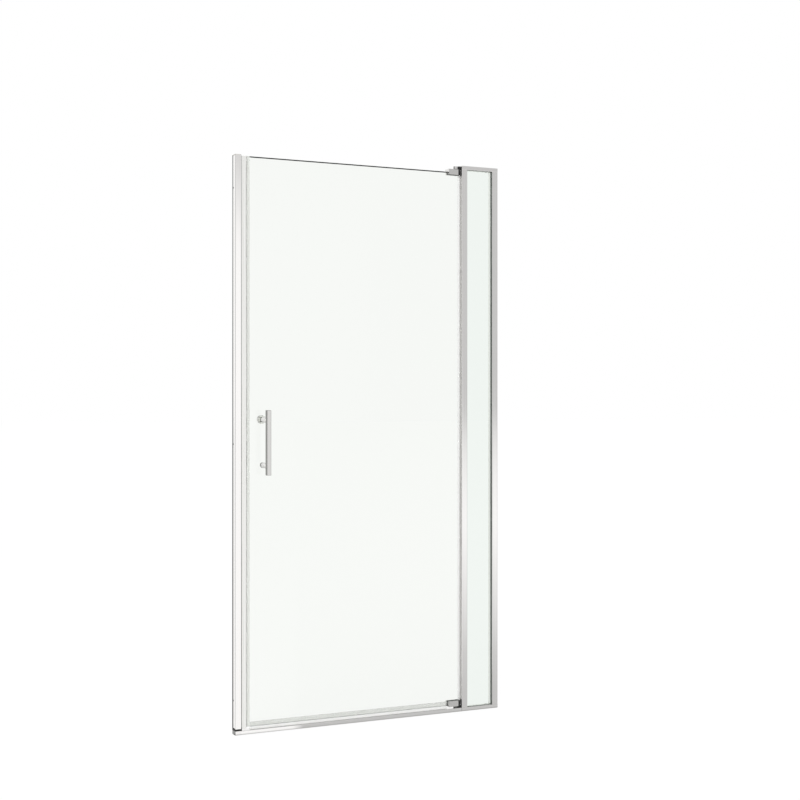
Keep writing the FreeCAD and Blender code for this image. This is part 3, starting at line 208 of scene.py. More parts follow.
def turned_steel(name, tones):
    """Stainless steel from the lathe: grey, with a fine grain that dulls its shine."""
    # the tool's 0.1 mm feed is drawn 0.6 mm apart, so that it shows
    return grained(name, [2.5, 0.6, 2.5], tones, gloss=(0.25, 0.4), relief_mm=0.003,
                   detail=3.0, Metallic=1.0)


def tempered_glass(name, node, face, edge, rim):
    """Clear float glass with ground edges and a coat that takes half its shine: its faces
    hardly tint what is behind them, its edges are green, and a painted dark rim of shade runs
    along its top from the closing seal on."""
    material, tree = empty_material(name)
    low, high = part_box(node)
    seal_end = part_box("door_magnetic_seal")[1].x
    rim_mm, rim_fade_mm, skin_mm = 3.6, 0.6, 0.02
    place = add_node(tree, "ShaderNodeTexCoord")
    spot = add_node(tree, "ShaderNodeSeparateXYZ", {"Vector": place.outputs["Object"]})
    in_rim = add_node(tree, "ShaderNodeMapRange", {"Value": spot.outputs["Z"]}, {
        "From Min": high.z - rim_mm * MM, "From Max": high.z - (rim_mm - rim_fade_mm) * MM,
    })
    bare = add_node(tree, "ShaderNodeMath", {0: spot.outputs["X"]}, {1: seal_end},
                    operation="GREATER_THAN")
    bare_rim = add_node(tree, "ShaderNodeMath",
                        {0: in_rim.outputs["Result"], 1: bare.outputs[0]}, operation="MULTIPLY")
    # its faces are its outermost skin, front and back
    depth = add_node(tree, "ShaderNodeMath", {0: spot.outputs["Y"]},
                     {1: (low.y + high.y) / 2}, operation="SUBTRACT")
    off = add_node(tree, "ShaderNodeMath", {0: depth.outputs[0]}, operation="ABSOLUTE")
    on_face = add_node(tree, "ShaderNodeMath", {0: off.outputs[0]},
                       {1: (high.y - low.y) / 2 - skin_mm * MM}, operation="GREATER_THAN")
    tint = add_node(tree, "ShaderNodeMix", {"Factor": on_face.outputs[0]},
                    {6: edge, 7: face}, data_type="RGBA")
    # painted shade: the band along the top, from the closing seal on, takes the dark rim colour
    rimmed = add_node(tree, "ShaderNodeMix",
                      {"Factor": bare_rim.outputs[0], 6: tint.outputs[2]}, {7: rim},
                      data_type="RGBA")
    # ground with 0.1 mm grit, drawn 0.7 mm apart, so that it shows
    grit_mm = 0.7
    scaled = add_node(tree, "ShaderNodeMapping", {"Vector": place.outputs["Object"]},
                      {"Scale": [1.0 / (grit_mm * MM)] * 3})
    grit = add_node(tree, "ShaderNodeTexNoise", {"Vector": scaled.outputs["Vector"]},
                    {"Scale": 1.0, "Detail": 2.0})
    ground = add_node(tree, "ShaderNodeMapRange", {"Value": grit.outputs["Fac"]}, {
        "From Min": NOISE[0], "From Max": NOISE[1], "To Min": 0.15, "To Max": 0.35,
    })
    rough = add_node(tree, "ShaderNodeMix", {
        "Factor": on_face.outputs[0], 2: ground.outputs["Result"],
    }, {3: 0.0}, data_type="FLOAT")
    surface = add_node(tree, "ShaderNodeBsdfPrincipled", {
        "Base Color": rimmed.outputs[2], "Roughness": rough.outputs[0],
    }, {"Transmission Weight": 1.0, "IOR": 1.52, "Specular Tint": KEPT_SHINE})
    add_node(tree, "ShaderNodeOutputMaterial", {"Surface": surface.outputs["BSDF"]})
    return material


def clear_vinyl(name, along, tones, clarity):
    """Extruded soft PVC: glossy, from crystal clear to milky by its clarity, with flow lines
    along its length."""
    # flow lines of 0.3 mm are drawn 1.2 mm apart, so that they show
    return grained(name, lines_along(along, 1.2, 1500.0), tones, gloss=(0.02, 0.06),
                   relief_mm=0.0001, **{"Transmission Weight": clarity, "IOR": 1.53,
                                        "Specular Tint": KEPT_SHINE})


def smoke_vinyl(name, along, tones, lip):
    """Extruded smoke-grey PVC: satin, with flow lines, and a pale lip against the glass."""
    # flow lines of 0.3 mm are drawn 1.2 mm apart, so that they show
    lip_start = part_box("jamb_glazing_gasket")[0].y + 7.1 * MM
    return grained(name, lines_along(along, 1.2, 400.0), tones, gloss=(0.35, 0.5),
                   relief_mm=0.008, seam=((0.0, 1.0, 0.0), lip_start, (lip, lip)), IOR=1.53)


def soft_rubber(name, tones):
    """Moulded EPDM rubber: soft and dusty matte."""
    # the mould's 0.2 mm texture is drawn 1.5 mm apart, so that it shows
    return grained(name, [1.5] * 3, tones, gloss=(0.5, 0.7), relief_mm=0.02, detail=3.0,
                   IOR=1.52)


def moulded_plastic(name, tones, gloss):
    """Injection-moulded nylon or ABS: satin, with the mould's spark-eroded texture."""
    # spark texture of 0.1 mm is drawn 0.5 mm apart, so that it shows
    return grained(name, [0.5] * 3, tones, gloss=(gloss, gloss + 0.15), relief_mm=0.01,
                   IOR=1.53)


def flexible_magnet(name, tones):
    """Ferrite-filled vinyl under a pale skin: chalky and matte, with lines along it."""
    # the die's 0.5 mm lines are drawn 2 mm apart, so that they show
    return grained(name, lines_along("z", 2.0, 250.0), tones, gloss=(0.45, 0.6),
                   relief_mm=0.01, IOR=1.5)


# ------------------------------------------------------------------ geometry nodes


def new_tree(name, sizes):
    """A geometry node tree with named inputs, given as {name: (socket type, default)}."""
    tree = bpy.data.node_groups.new(name, "GeometryNodeTree")
    face = tree.interface
    face.new_socket("Geometry", in_out="INPUT", socket_type="NodeSocketGeometry")
    for label, (kind, value) in sizes.items():
        socket = face.new_socket(label, in_out="INPUT", socket_type=kind)
        if value is not None:
            socket.default_value = value
    face.new_socket("Geometry", in_out="OUTPUT", socket_type="NodeSocketGeometry")
    return tree, add_node(tree, "NodeGroupInput").outputs


def close_tree(tree, inputs, shape):
    """End a tree: instances made real, then the finish."""
    real = add_node(tree, "GeometryNodeRealizeInstances", {"Geometry": shape})
    coated = add_node(tree, "GeometryNodeSetMaterial", {
        "Geometry": real.outputs["Geometry"], "Material": inputs["Finish"],
    })
    add_node(tree, "NodeGroupOutput", {"Geometry": coated.outputs["Geometry"]})


def grow(name, tree, points, edges, sizes, sharp_degrees=35.0):
    """Run a tree on points and edges, with its inputs set, and keep the result as one mesh."""
    start = bpy.data.meshes.new(name)
    start.from_pydata(points, edges, [])
    piece = bpy.data.objects.new(name, start)
    bpy.context.scene.collection.objects.link(piece)
    modifier = piece.modifiers.new(tree.name, "NODES")
    modifier.node_group = tree
    sockets = {item.name: item.identifier for item in tree.interface.items_tree
               if item.item_type == "SOCKET" and item.in_out == "INPUT"}
    for label, value in sizes.items():
        modifier[sockets[label]] = value
    ready = piece.evaluated_get(bpy.context.evaluated_depsgraph_get())
    made = bpy.data.meshes.new_from_object(ready)
    if not made.polygons:
        raise RuntimeError(f"{tree.name} made nothing for {name}")
    piece.modifiers.remove(modifier)
    shape = bmesh.new()
    shape.from_mesh(made)
    bmesh.ops.remove_doubles(shape, verts=shape.verts, dist=WELD)
    bmesh.ops.recalc_face_normals(shape, faces=shape.faces)
    shape.to_mesh(made)
    shape.free()
    made.shade_smooth()
    made.set_sharp_from_angle(angle=math.radians(sharp_degrees))
    made.name = name
    piece.data = made
    return piece


def screw_tree():
    """Pan-head screws with a hexagon socket and a thread, one on each point, driven from +Y."""
    tree, sizes = new_tree("pan_head_screws", {
        "Head radius": ("NodeSocketFloat", 4.0 * MM),
        "Head height": ("NodeSocketFloat", 1.8 * MM),
        "Socket radius": ("NodeSocketFloat", 1.4 * MM),
        "Socket depth": ("NodeSocketFloat", 1.0 * MM),
        "Core radius": ("NodeSocketFloat", 1.55 * MM),
        "Thread radius": ("NodeSocketFloat", 0.4 * MM),
        "Thread turns": ("NodeSocketFloat", 5.0),
        "Length": ("NodeSocketFloat", 6.8 * MM),
        "Seed": ("NodeSocketInt", 7),
        "Finish": ("NodeSocketMaterial", None),
    })
    # head: the upper half of a ball, pressed into a flat-topped dome
    ball = add_node(tree, "GeometryNodeMeshUVSphere",
                    values={"Segments": 48, "Rings": 32, "Radius": 1.0})
    spot = add_node(tree, "GeometryNodeInputPosition")
    axes = add_node(tree, "ShaderNodeSeparateXYZ", {"Vector": spot.outputs[0]})
    upper = add_node(tree, "ShaderNodeMath", {0: axes.outputs["Z"]}, {1: 0.0},
                     operation="MAXIMUM")
    short = add_node(tree, "ShaderNodeMath", {1: upper.outputs[0]}, {0: 1.0},
                     operation="SUBTRACT")
    cube = add_node(tree, "ShaderNodeMath", {0: short.outputs[0]}, {1: 3.0}, operation="POWER")
    dome = add_node(tree, "ShaderNodeMath", {1: cube.outputs[0]}, {0: 1.0},
                    operation="SUBTRACT")
    tall = add_node(tree, "ShaderNodeMath",
                    {0: dome.outputs[0], 1: sizes["Head height"]}, operation="MULTIPLY")
    wide_x, wide_y = [
        add_node(tree, "ShaderNodeMath", {0: axes.outputs[axis], 1: sizes["Head radius"]},
                 operation="MULTIPLY") for axis in "XY"
    ]
    shaped = add_node(tree, "ShaderNodeCombineXYZ", {
        "X": wide_x.outputs[0], "Y": wide_y.outputs[0], "Z": tall.outputs[0],
    })
    head = add_node(tree, "GeometryNodeSetPosition", {
        "Geometry": ball.outputs["Mesh"], "Position": shaped.outputs[0],
    })
    # socket: a hexagonal plug taken out of the head
    plug = add_node(tree, "GeometryNodeMeshCone", {
        "Radius Top": sizes["Socket radius"], "Radius Bottom": sizes["Socket radius"],
        "Depth": sizes["Head height"],
    }, {"Vertices": 6})
    sunk = add_node(tree, "ShaderNodeMath",
                    {0: sizes["Head height"], 1: sizes["Socket depth"]}, operation="SUBTRACT")
    lift = add_node(tree, "ShaderNodeCombineXYZ", {"Z": sunk.outputs[0]})
    raised = add_node(tree, "GeometryNodeTransform", {
        "Geometry": plug.outputs["Mesh"], "Translation": lift.outputs[0],
    })
    drilled = add_node(tree, "GeometryNodeMeshBoolean", {
        "Mesh 1": head.outputs["Geometry"], "Mesh 2": raised.outputs["Geometry"],
    }, operation="DIFFERENCE", solver="EXACT")
    # shank: a core with a thread wound on it
    core = add_node(tree, "GeometryNodeMeshCylinder", {
        "Radius": sizes["Core radius"], "Depth": sizes["Length"],
    }, {"Vertices": 24})
    coil = add_node(tree, "GeometryNodeCurveSpiral", {
        "Rotations": sizes["Thread turns"], "Start Radius": sizes["Core radius"],
        "End Radius": sizes["Core radius"], "Height": sizes["Length"],
    }, {"Resolution": 20})
    ridge = add_node(tree, "GeometryNodeCurvePrimitiveCircle", {
        "Radius": sizes["Thread radius"],
    }, {"Resolution": 3})
    thread = add_node(tree, "GeometryNodeCurveToMesh", {
        "Curve": coil.outputs["Curve"], "Profile Curve": ridge.outputs["Curve"],
    }, {"Fill Caps": True})
    # both hang below the head, from the core's middle and from the thread's foot
    parts = [drilled.outputs["Mesh"]]
    for shape, share in ((core.outputs["Mesh"], -0.5), (thread.outputs["Mesh"], -1.0)):
        down = add_node(tree, "ShaderNodeMath", {0: sizes["Length"]}, {1: share},
                        operation="MULTIPLY")
        below = add_node(tree, "ShaderNodeCombineXYZ", {"Z": down.outputs[0]})
        hung = add_node(tree, "GeometryNodeTransform", {
            "Geometry": shape, "Translation": below.outputs[0],
        })
        parts.append(hung.outputs["Geometry"])
    screw = add_node(tree, "GeometryNodeJoinGeometry", {"Geometry": parts})
    # each screw stops at its own turn
    stop = add_node(tree, "FunctionNodeRandomValue", {"Seed": sizes["Seed"]},
                    {2: 0.0, 3: math.tau}, data_type="FLOAT")
    turn = add_node(tree, "ShaderNodeCombineXYZ", {"Y": stop.outputs[1]},
                    {"X": math.radians(-90.0)})
    placed = add_node(tree, "GeometryNodeInstanceOnPoints", {
        "Points": sizes["Geometry"], "Instance": screw.outputs["Geometry"],
        "Rotation": turn.outputs[0],
    })
    close_tree(tree, sizes, placed.outputs["Instances"])
    return tree


def seal_tree():
    """A closed outline with rounded corners, swept along a straight run."""
    tree, sizes = new_tree("swept_seal", {
        "Start": ("NodeSocketFloat", 0.0),
        "Stop": ("NodeSocketFloat", 1.0),
        "Corner radius": ("NodeSocketFloat", 0.25 * MM),
        "Turn": ("NodeSocketVector", (0.0, 0.0, 0.0)),
        "Finish": ("NodeSocketMaterial", None),
    })
    outline = add_node(tree, "GeometryNodeMeshToCurve", {"Mesh": sizes["Geometry"]})
    rounded = add_node(tree, "GeometryNodeFilletCurve", {
        "Curve": outline.outputs["Curve"], "Radius": sizes["Corner radius"],
    }, {"Count": 3, "Limit Radius": True}, mode="POLY")
    first = add_node(tree, "ShaderNodeCombineXYZ", {"Z": sizes["Start"]})
    last = add_node(tree, "ShaderNodeCombineXYZ", {"Z": sizes["Stop"]})
    run = add_node(tree, "GeometryNodeCurvePrimitiveLine", {
        "Start": first.outputs[0], "End": last.outputs[0],
    })
    swept = add_node(tree, "GeometryNodeCurveToMesh", {
        "Curve": run.outputs["Curve"], "Profile Curve": rounded.outputs["Curve"],
    }, {"Fill Caps": True})
    laid = add_node(tree, "GeometryNodeTransform", {
        "Geometry": swept.outputs["Mesh"], "Rotation": sizes["Turn"],
    })
    close_tree(tree, sizes, laid.outputs["Geometry"])
    return tree


def solid_middles(node):
    """Middles of a CAD node's separate solids, in the order of their places to 0.01 mm, so that
    every run draws the same turns for its screws."""
    shape = bmesh.new()
    shape.from_mesh(NODES[node].data)
    bmesh.ops.remove_doubles(shape, verts=shape.verts, dist=WELD)
    waiting = set(shape.verts)
    middles = []
    while waiting:
        found = [waiting.pop()]
        for vert in found:
            for edge in vert.link_edges:
                other = edge.other_vert(vert)
                if other in waiting:
                    waiting.discard(other)
                    found.append(other)
        spans = [(min(v.co[a] for v in found), max(v.co[a] for v in found)) for a in range(3)]
        middles.append([(low + high) / 2 for low, high in spans])
    shape.free()
    return sorted(middles, key=lambda middle: [round(value, 5) for value in middle])


# ------------------------------------------------------------------ settings


TINT = {"size": 4, "min": 0.0, "max": 1.0}


class ShowerDoorFinishes(bpy.types.PropertyGroup):
    """Colours of the door's materials."""

    metal: bpy.props.FloatVectorProperty(
        name="Metal", description="Bright aluminium between its die lines",
        subtype="COLOR", default=linear("#fffefd"), **TINT)
    metal_lines: bpy.props.FloatVectorProperty(
        name="Metal lines", description="Bright aluminium in its die lines",
        subtype="COLOR", default=linear("#f8f6f4"), **TINT)
    # painted shade at the left channel's wall corner and on the strike profile beside the
    # channel, darkest by the floor
    seam: bpy.props.FloatVectorProperty(
        name="Seams", description="Silicone and rubbed metal at the left channel, by the floor",
        subtype="COLOR", default=linear("#141514"), **TINT)
    satin: bpy.props.FloatVectorProperty(
        name="Satin metal", description="Etched aluminium of the strike profile",
        subtype="COLOR", default=linear("#efefed"), **TINT)
    chrome: bpy.props.FloatVectorProperty(
        name="Chrome", description="Chrome plate of the hinges",
        subtype="COLOR", default=linear("#f0efed"), **TINT)
    nickel: bpy.props.FloatVectorProperty(
        name="Nickel", description="Nickel plate of the handle and the knob",
        subtype="COLOR", default=linear("#dddcda"), **TINT)
    door_glass: bpy.props.FloatVectorProperty(
        name="Door glass", description="Tint of the door pane's faces",
        subtype="COLOR", default=linear("#f7f9f6"), **TINT)
    fixed_glass: bpy.props.FloatVectorProperty(
        name="Fixed glass", description="Tint of the fixed pane's faces",
        subtype="COLOR", default=linear("#f1f6f2"), **TINT)
    glass_edge: bpy.props.FloatVectorProperty(
        name="Glass edge", description="Tint of the panes' ground edges",
        subtype="COLOR", default=linear("#e4ede7"), **TINT)
    # painted shade: a dark band along the panes' tops
    glass_rim_shade: bpy.props.FloatVectorProperty(
        name="Glass rim", description="Dark rim along the panes' tops",
        subtype="COLOR", default=linear("#0f110f"), **TINT)
    vinyl: bpy.props.FloatVectorProperty(
        name="Clear vinyl", description="Clear seals between their flow lines",
        subtype="COLOR", default=linear("#ffffff"), **TINT)
    vinyl_lines: bpy.props.FloatVectorProperty(
        name="Clear vinyl lines", description="Clear seals in their flow lines",
        subtype="COLOR", default=linear("#fcfdfa"), **TINT)
    gasket: bpy.props.FloatVectorProperty(
        name="Gasket", description="Smoke-grey gasket in front of the fixed pane",
        subtype="COLOR", default=linear("#39403a"), **TINT)


class ShowerDoorFittings(bpy.types.PropertyGroup):
    """Sizes of the screws and the seals."""

    head_height: bpy.props.FloatProperty(
        name="Screw head", description="Height of a pan head", unit="LENGTH",
        subtype="DISTANCE", default=1.8 * MM)
    head_radius: bpy.props.FloatProperty(
        name="Screw head radius", description="Radius of a pan head", unit="LENGTH",
        subtype="DISTANCE", default=4.0 * MM)
    lip_thickness: bpy.props.FloatProperty(
        name="Seal lip", description="Thickness of the seals' lips on the glass",
        unit="LENGTH", subtype="DISTANCE", default=0.7 * MM)
    seal_rounding: bpy.props.FloatProperty(
        name="Seal rounding", description="Rounding of the seals' edges", unit="LENGTH",
        subtype="DISTANCE", default=0.3 * MM)


class ShowerDoorStage(bpy.types.PropertyGroup):
    """Camera, light and floor."""

    camera_place: bpy.props.FloatVectorProperty(
        name="Camera place", description="Where the camera stands", size=3, subtype="XYZ",
        unit="LENGTH", default=(-1.999, -4.322, 1.055))
    camera_turn: bpy.props.FloatProperty(
        name="Camera turn", description="Turn of the level camera about the vertical",
        subtype="ANGLE", default=math.radians(-26.0))
    lens: bpy.props.FloatProperty(
        name="Lens", description="Focal length in millimetres on a 36 mm sensor", default=65.0)
    floor_half: bpy.props.FloatProperty(
        name="Floor", description="Half the side of the square floor", unit="LENGTH",
        subtype="DISTANCE", default=60.0)
    key_power: bpy.props.FloatProperty(
        name="Key light", description="Power of the large soft key light", unit="POWER",
        default=160.0)


# ------------------------------------------------------------------ operators


class SHOWERDOOR_OT_materials(bpy.types.Operator):
    """Mix the finishes that the pieces share"""

    bl_idname = "showerdoor.materials"
    bl_label = "Materials"

    def execute(self, context):
        tones = context.scene.shower_door_finishes
        metal = (tuple(tones.metal_lines), tuple(tones.metal))
        satin = (linear("#e8e8e5"), tuple(tones.satin))
        chrome = (linear("#e6e5e3"), tuple(tones.chrome))
        nickel = (linear("#d6d5d3"), tuple(tones.nickel))
        vinyl = (tuple(tones.vinyl_lines), tuple(tones.vinyl))
        gasket = (linear("#2c312d"), tuple(tones.gasket))
        steel = (linear("#a9a9a8"), linear("#c4c4c2"))
        edge, rim = tuple(tones.glass_edge), tuple(tones.glass_rim_shade)
        lip = linear("#dde4de")
        # painted shade is darkest at the floor and pales with height, and a sawn end is grey all
        # over
        painted_shade = (tuple(tones.seam), linear("#c4c6c4"))
        sawn = (linear("#8a8a88"),) * 2
        channel_low, channel_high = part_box("left_wall_channel")
        # how far each seam reaches: from the wall corner, past the channel, and from two ends
        corner, shaded_strip, sealed_end, sill_end = 6.0 * MM, 2.0 * MM, 0.5 * MM, 1.0 * MM
        to_corner = (-0.6, 0.8, 0.0)
        corner_start = (to_corner[1] * (channel_high.y - corner)
                        + to_corner[0] * channel_low.x)
        made = [
            extruded_aluminium("bright_anodised_aluminium_upright", "z", metal),
            extruded_aluminium("bright_anodised_aluminium_rail", "x", metal),
            extruded_aluminium("bright_anodised_aluminium_cut", "x", metal,
                               ((1.0, 0.0, 0.0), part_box("sill")[1].x - sill_end, sawn)),
            # painted shade along the channel's wall corner, darker towards the floor
            extruded_aluminium("bright_anodised_aluminium_wall_shade", "z", metal,
                               (to_corner, corner_start, painted_shade)),
            # painted shade on the strike profile up to 2 mm past the channel's edge, darker
            # towards the floor
            satin_aluminium("satin_anodised_aluminium", satin,
                            ((-1.0, 0.0, 0.0), -(channel_high.x + shaded_strip), painted_shade)),
            plated("polished_chrome_plate", chrome),
            # the bottom arm's chrome, made dark all over as painted shade under the clamp
            plated("chrome_plate_painted_shade", (linear("#6e6e6c"), linear("#7a7a78"))),
            plated("polished_nickel_plate", nickel),
            plated("silver_plated_abs", (linear("#f3f1f0"), linear("#faf8f7")),
                   ((-1.0, 0.0, 0.0), -(channel_low.x + sealed_end), sawn)),
            turned_steel("turned_stainless_steel", steel),
            tempered_glass("tempered_glass_door", "door_glass", tuple(tones.door_glass), edge,
                           rim),
            tempered_glass("tempered_glass_fixed", "fixed_glass", tuple(tones.fixed_glass),
                           edge, rim),
            clear_vinyl("extruded_clear_vinyl_upright", "z", vinyl, clarity=0.9),
            clear_vinyl("extruded_clear_vinyl_rail", "x", vinyl, clarity=0.85),
            clear_vinyl("extruded_crystal_vinyl", "z", (linear("#fdfefc"), linear("#ffffff")),
                        clarity=0.15),
            moulded_plastic("white_moulded_nylon", (linear("#f2f2f0"), linear("#fbfbfa")), 0.3),
            smoke_vinyl("extruded_smoke_vinyl_upright", "z", gasket, lip),
            smoke_vinyl("extruded_smoke_vinyl_rail", "x", gasket, lip),
            soft_rubber("moulded_black_rubber", (linear("#141414"), linear("#242423"))),
            soft_rubber("moulded_grey_rubber", (linear("#6a6c6a"), linear("#7c7e7b"))),
            moulded_plastic("black_moulded_nylon", (linear("#111111"), linear("#1b1b1b")), 0.35),
            moulded_plastic("grey_moulded_abs", (linear("#b4b2ae"), linear("#c6c4c0")), 0.3),
            flexible_magnet("flexible_magnet_strip", (linear("#eeedea"), linear("#f8f7f4"))),
        ]
        MATERIALS.update({material.name: material for material in made})
        return {"FINISHED"}


class SHOWERDOOR_OT_frame(bpy.types.Operator):
    """Finish the frame's extrusions, beads, gaskets, caps and fixed pane"""

    bl_idname = "showerdoor.frame"
    bl_label = "Frame"

    def execute(self, context):
        # the left channel carries painted shade along its wall corner
        finish("bright_anodised_aluminium_wall_shade", "left_wall_channel")
        finish("bright_anodised_aluminium_upright", "pivot_post", "right_wall_channel",
               "post_glazing_bead", "jamb_glazing_bead")
        finish("bright_anodised_aluminium_cut", "sill")
        finish("bright_anodised_aluminium_rail", "bottom_rail", "top_rail",
               "bottom_glazing_bead", "top_glazing_bead")
        # the strike profile carries painted shade beside the channel
        finish("satin_anodised_aluminium", "strike_profile")
        finish("tempered_glass_fixed", "fixed_glass")
        finish("extruded_smoke_vinyl_upright", "post_glazing_gasket", "jamb_glazing_gasket")
        finish("extruded_smoke_vinyl_rail", "bottom_glazing_gasket", "top_glazing_gasket")
        finish("moulded_black_rubber", "setting_blocks", "left_channel_foot")
        finish("grey_moulded_abs", "left_channel_cap", "sill_coupler", "corner_keys")
        finish("silver_plated_abs", "sill_end_cap")
        finish("flexible_magnet_strip", "strike_magnetic_strip")
        return {"FINISHED"}


class SHOWERDOOR_OT_screws(bpy.types.Operator):
    """Make the pan-head screws in the back of the frame"""

    bl_idname = "showerdoor.screws"
    bl_label = "Screws"

    def execute(self, context):
        sizes = context.scene.shower_door_fittings
        tree = screw_tree()
        for seed, node in enumerate(("profile_screws", "corner_key_screws", "arm_screws")):
            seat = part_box(node)[1].y - sizes.head_height
            places = [(x, seat, z) for x, _, z in solid_middles(node)]
            screws = grow(f"pan_head_{node}", tree, places, [], {
                "Head radius": sizes.head_radius, "Head height": sizes.head_height,
                "Seed": seed, "Finish": MATERIALS["turned_stainless_steel"],
            })
            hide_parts(node)
            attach(screws, "frame")
        return {"FINISHED"}


class SHOWERDOOR_OT_seals(bpy.types.Operator):
    """Make the door's clip-on seals by sweeping their sections"""

    bl_idname = "showerdoor.seals"
    bl_label = "Seals"

    # room round the pane and the magnet, and what a lip loses in thickness at its tip
    SNUG = 0.05 * MM
    TAPER = 0.2 * MM

    def execute(self, context):
        sizes = context.scene.shower_door_fittings
        tree = seal_tree()
        pane_low, pane_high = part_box("door_glass")
        inner = pane_high.y + self.SNUG
        outer = inner + sizes.lip_thickness
        for node, section, along, material in (
            ("door_magnetic_seal", self.magnetic_section(pane_low.x, inner, outer), 2,
             "extruded_clear_vinyl_upright"),
            ("door_hinge_side_seal", self.fin_section(pane_high.x, inner, outer), 2,
             "extruded_crystal_vinyl"),
            ("door_bottom_seal", self.sweep_section(pane_low.z, inner, outer), 0,
             "extruded_clear_vinyl_rail"),
        ):
            low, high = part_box(node)
            count = len(section)
            seal = grow(f"swept_{node}", tree, [(a, b, 0.0) for a, b in section],
                        [(n, (n + 1) % count) for n in range(count)], {
                "Start": low[along], "Stop": high[along],
                "Corner radius": sizes.seal_rounding,
                "Turn": (math.radians(90.0), 0.0, math.radians(90.0)) if along == 0
                else (0.0, 0.0, 0.0),
                "Finish": MATERIALS[material],
            })
            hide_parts(node)
            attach(seal, "door")
        return {"FINISHED"}

    def magnetic_section(self, edge, inner, outer):
        """Two lips on the glass and a pocket round the magnet, seen along Z as (x, y)."""
        low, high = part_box("door_magnetic_seal")
        magnet_low, magnet_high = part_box("door_magnet")
        shoulder, throat = edge - 0.65 * MM, edge - 0.2 * MM
        pocket = magnet_high.y + self.SNUG
        half = [
            (low.x, high.y), (shoulder, high.y), (shoulder, outer),
            (high.x, outer - self.TAPER), (high.x, inner), (throat, inner),
            (magnet_high.x, pocket), (magnet_low.x - self.SNUG, pocket),
        ]
        return half + [(x, -y) for x, y in reversed(half)]

    def fin_section(self, edge, inner, outer):
        """Two lips on the glass, the longer one in front, and a fin that reaches towards the
        post, as (x, y)."""
        low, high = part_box("door_hinge_side_seal")
        web, fin_tip, fin_root, lip_step = 0.8 * MM, 0.25 * MM, 0.4 * MM, 2.0 * MM
        back, front = [
            [(high.x, side * fin_tip), (edge + web, side * fin_root),
             (edge + web, side * outer), (lip, side * (outer - self.TAPER)),
             (lip, side * inner), (edge + self.SNUG, side * inner)]
            for side, lip in ((1, low.x + lip_step), (-1, low.x))
        ]
        return back + front[::-1]

    def sweep_section(self, edge, inner, outer):
        """Two lips on the glass and a sweep that curves out over the sill, as (y, z)."""
        low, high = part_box("door_bottom_seal")
        base = edge - 0.85 * MM
        drop = base - low.z
        # the sweep's faces at its root, how far it leans out over its drop and what it thins
        # by, in mm
        front_face, back_face, lean, loss = 0.55, 0.45, 2.0, 0.1
        steps = (0.0, 0.35, 0.7, 1.0)
        front = [(-(front_face + lean * t * t) * MM, base - drop * t) for t in steps]
        back = [((back_face - loss * t - lean * t * t) * MM, base - drop * t)
                for t in steps[::-1]]
        return [
            (-inner, edge - self.SNUG), (-inner, high.z), (-outer + self.TAPER, high.z),
            (-outer, base), *front, *back, (outer, base), (outer - self.TAPER, high.z),
            (inner, high.z), (inner, edge - self.SNUG),
        ]


class SHOWERDOOR_OT_door(bpy.types.Operator):
    """Finish the door pane and its magnet"""

    bl_idname = "showerdoor.door"
    bl_label = "Door"

    def execute(self, context):
        finish("tempered_glass_door", "door_glass")
        finish("flexible_magnet_strip", "door_magnet")
        return {"FINISHED"}


class SHOWERDOOR_OT_hinges(bpy.types.Operator):
    """Finish the pivot hinges, their arms, pins and covers"""

    bl_idname = "showerdoor.hinges"
    bl_label = "Hinges"

    def execute(self, context):
        for side in ("top", "bottom"):
            finish("polished_chrome_plate", f"{side}_hinge_outer_clamp",
                   f"{side}_hinge_inner_clamp")
            finish("turned_stainless_steel", f"{side}_hinge_clamp_screw", f"{side}_pivot_pin")
            finish("moulded_grey_rubber", f"{side}_hinge_pad")
            finish("black_moulded_nylon", f"{side}_hinge_end_cover", f"{side}_pivot_bush",
                   f"{side}_arm_collar")
        finish("polished_chrome_plate", "top_pivot_arm")
        # the bottom arm is chrome darkened with painted shade from under the clamp
        finish("chrome_plate_painted_shade", "bottom_pivot_arm")
        return {"FINISHED"}


class SHOWERDOOR_OT_handle(bpy.types.Operator):
    """Finish the handle, the inside knob and their fixings"""

    bl_idname = "showerdoor.handle"
    bl_label = "Handle"

    def execute(self, context):
        finish("polished_nickel_plate", "handle_bar")
        finish("polished_chrome_plate", "inside_knob", "inside_cap_nut")
        finish("white_moulded_nylon", "handle_standoffs")
        finish("turned_stainless_steel", "handle_studs")
        finish("extruded_clear_vinyl_upright", "handle_outer_washers", "handle_inner_washers",
               "handle_sleeves")
        return {"FINISHED"}


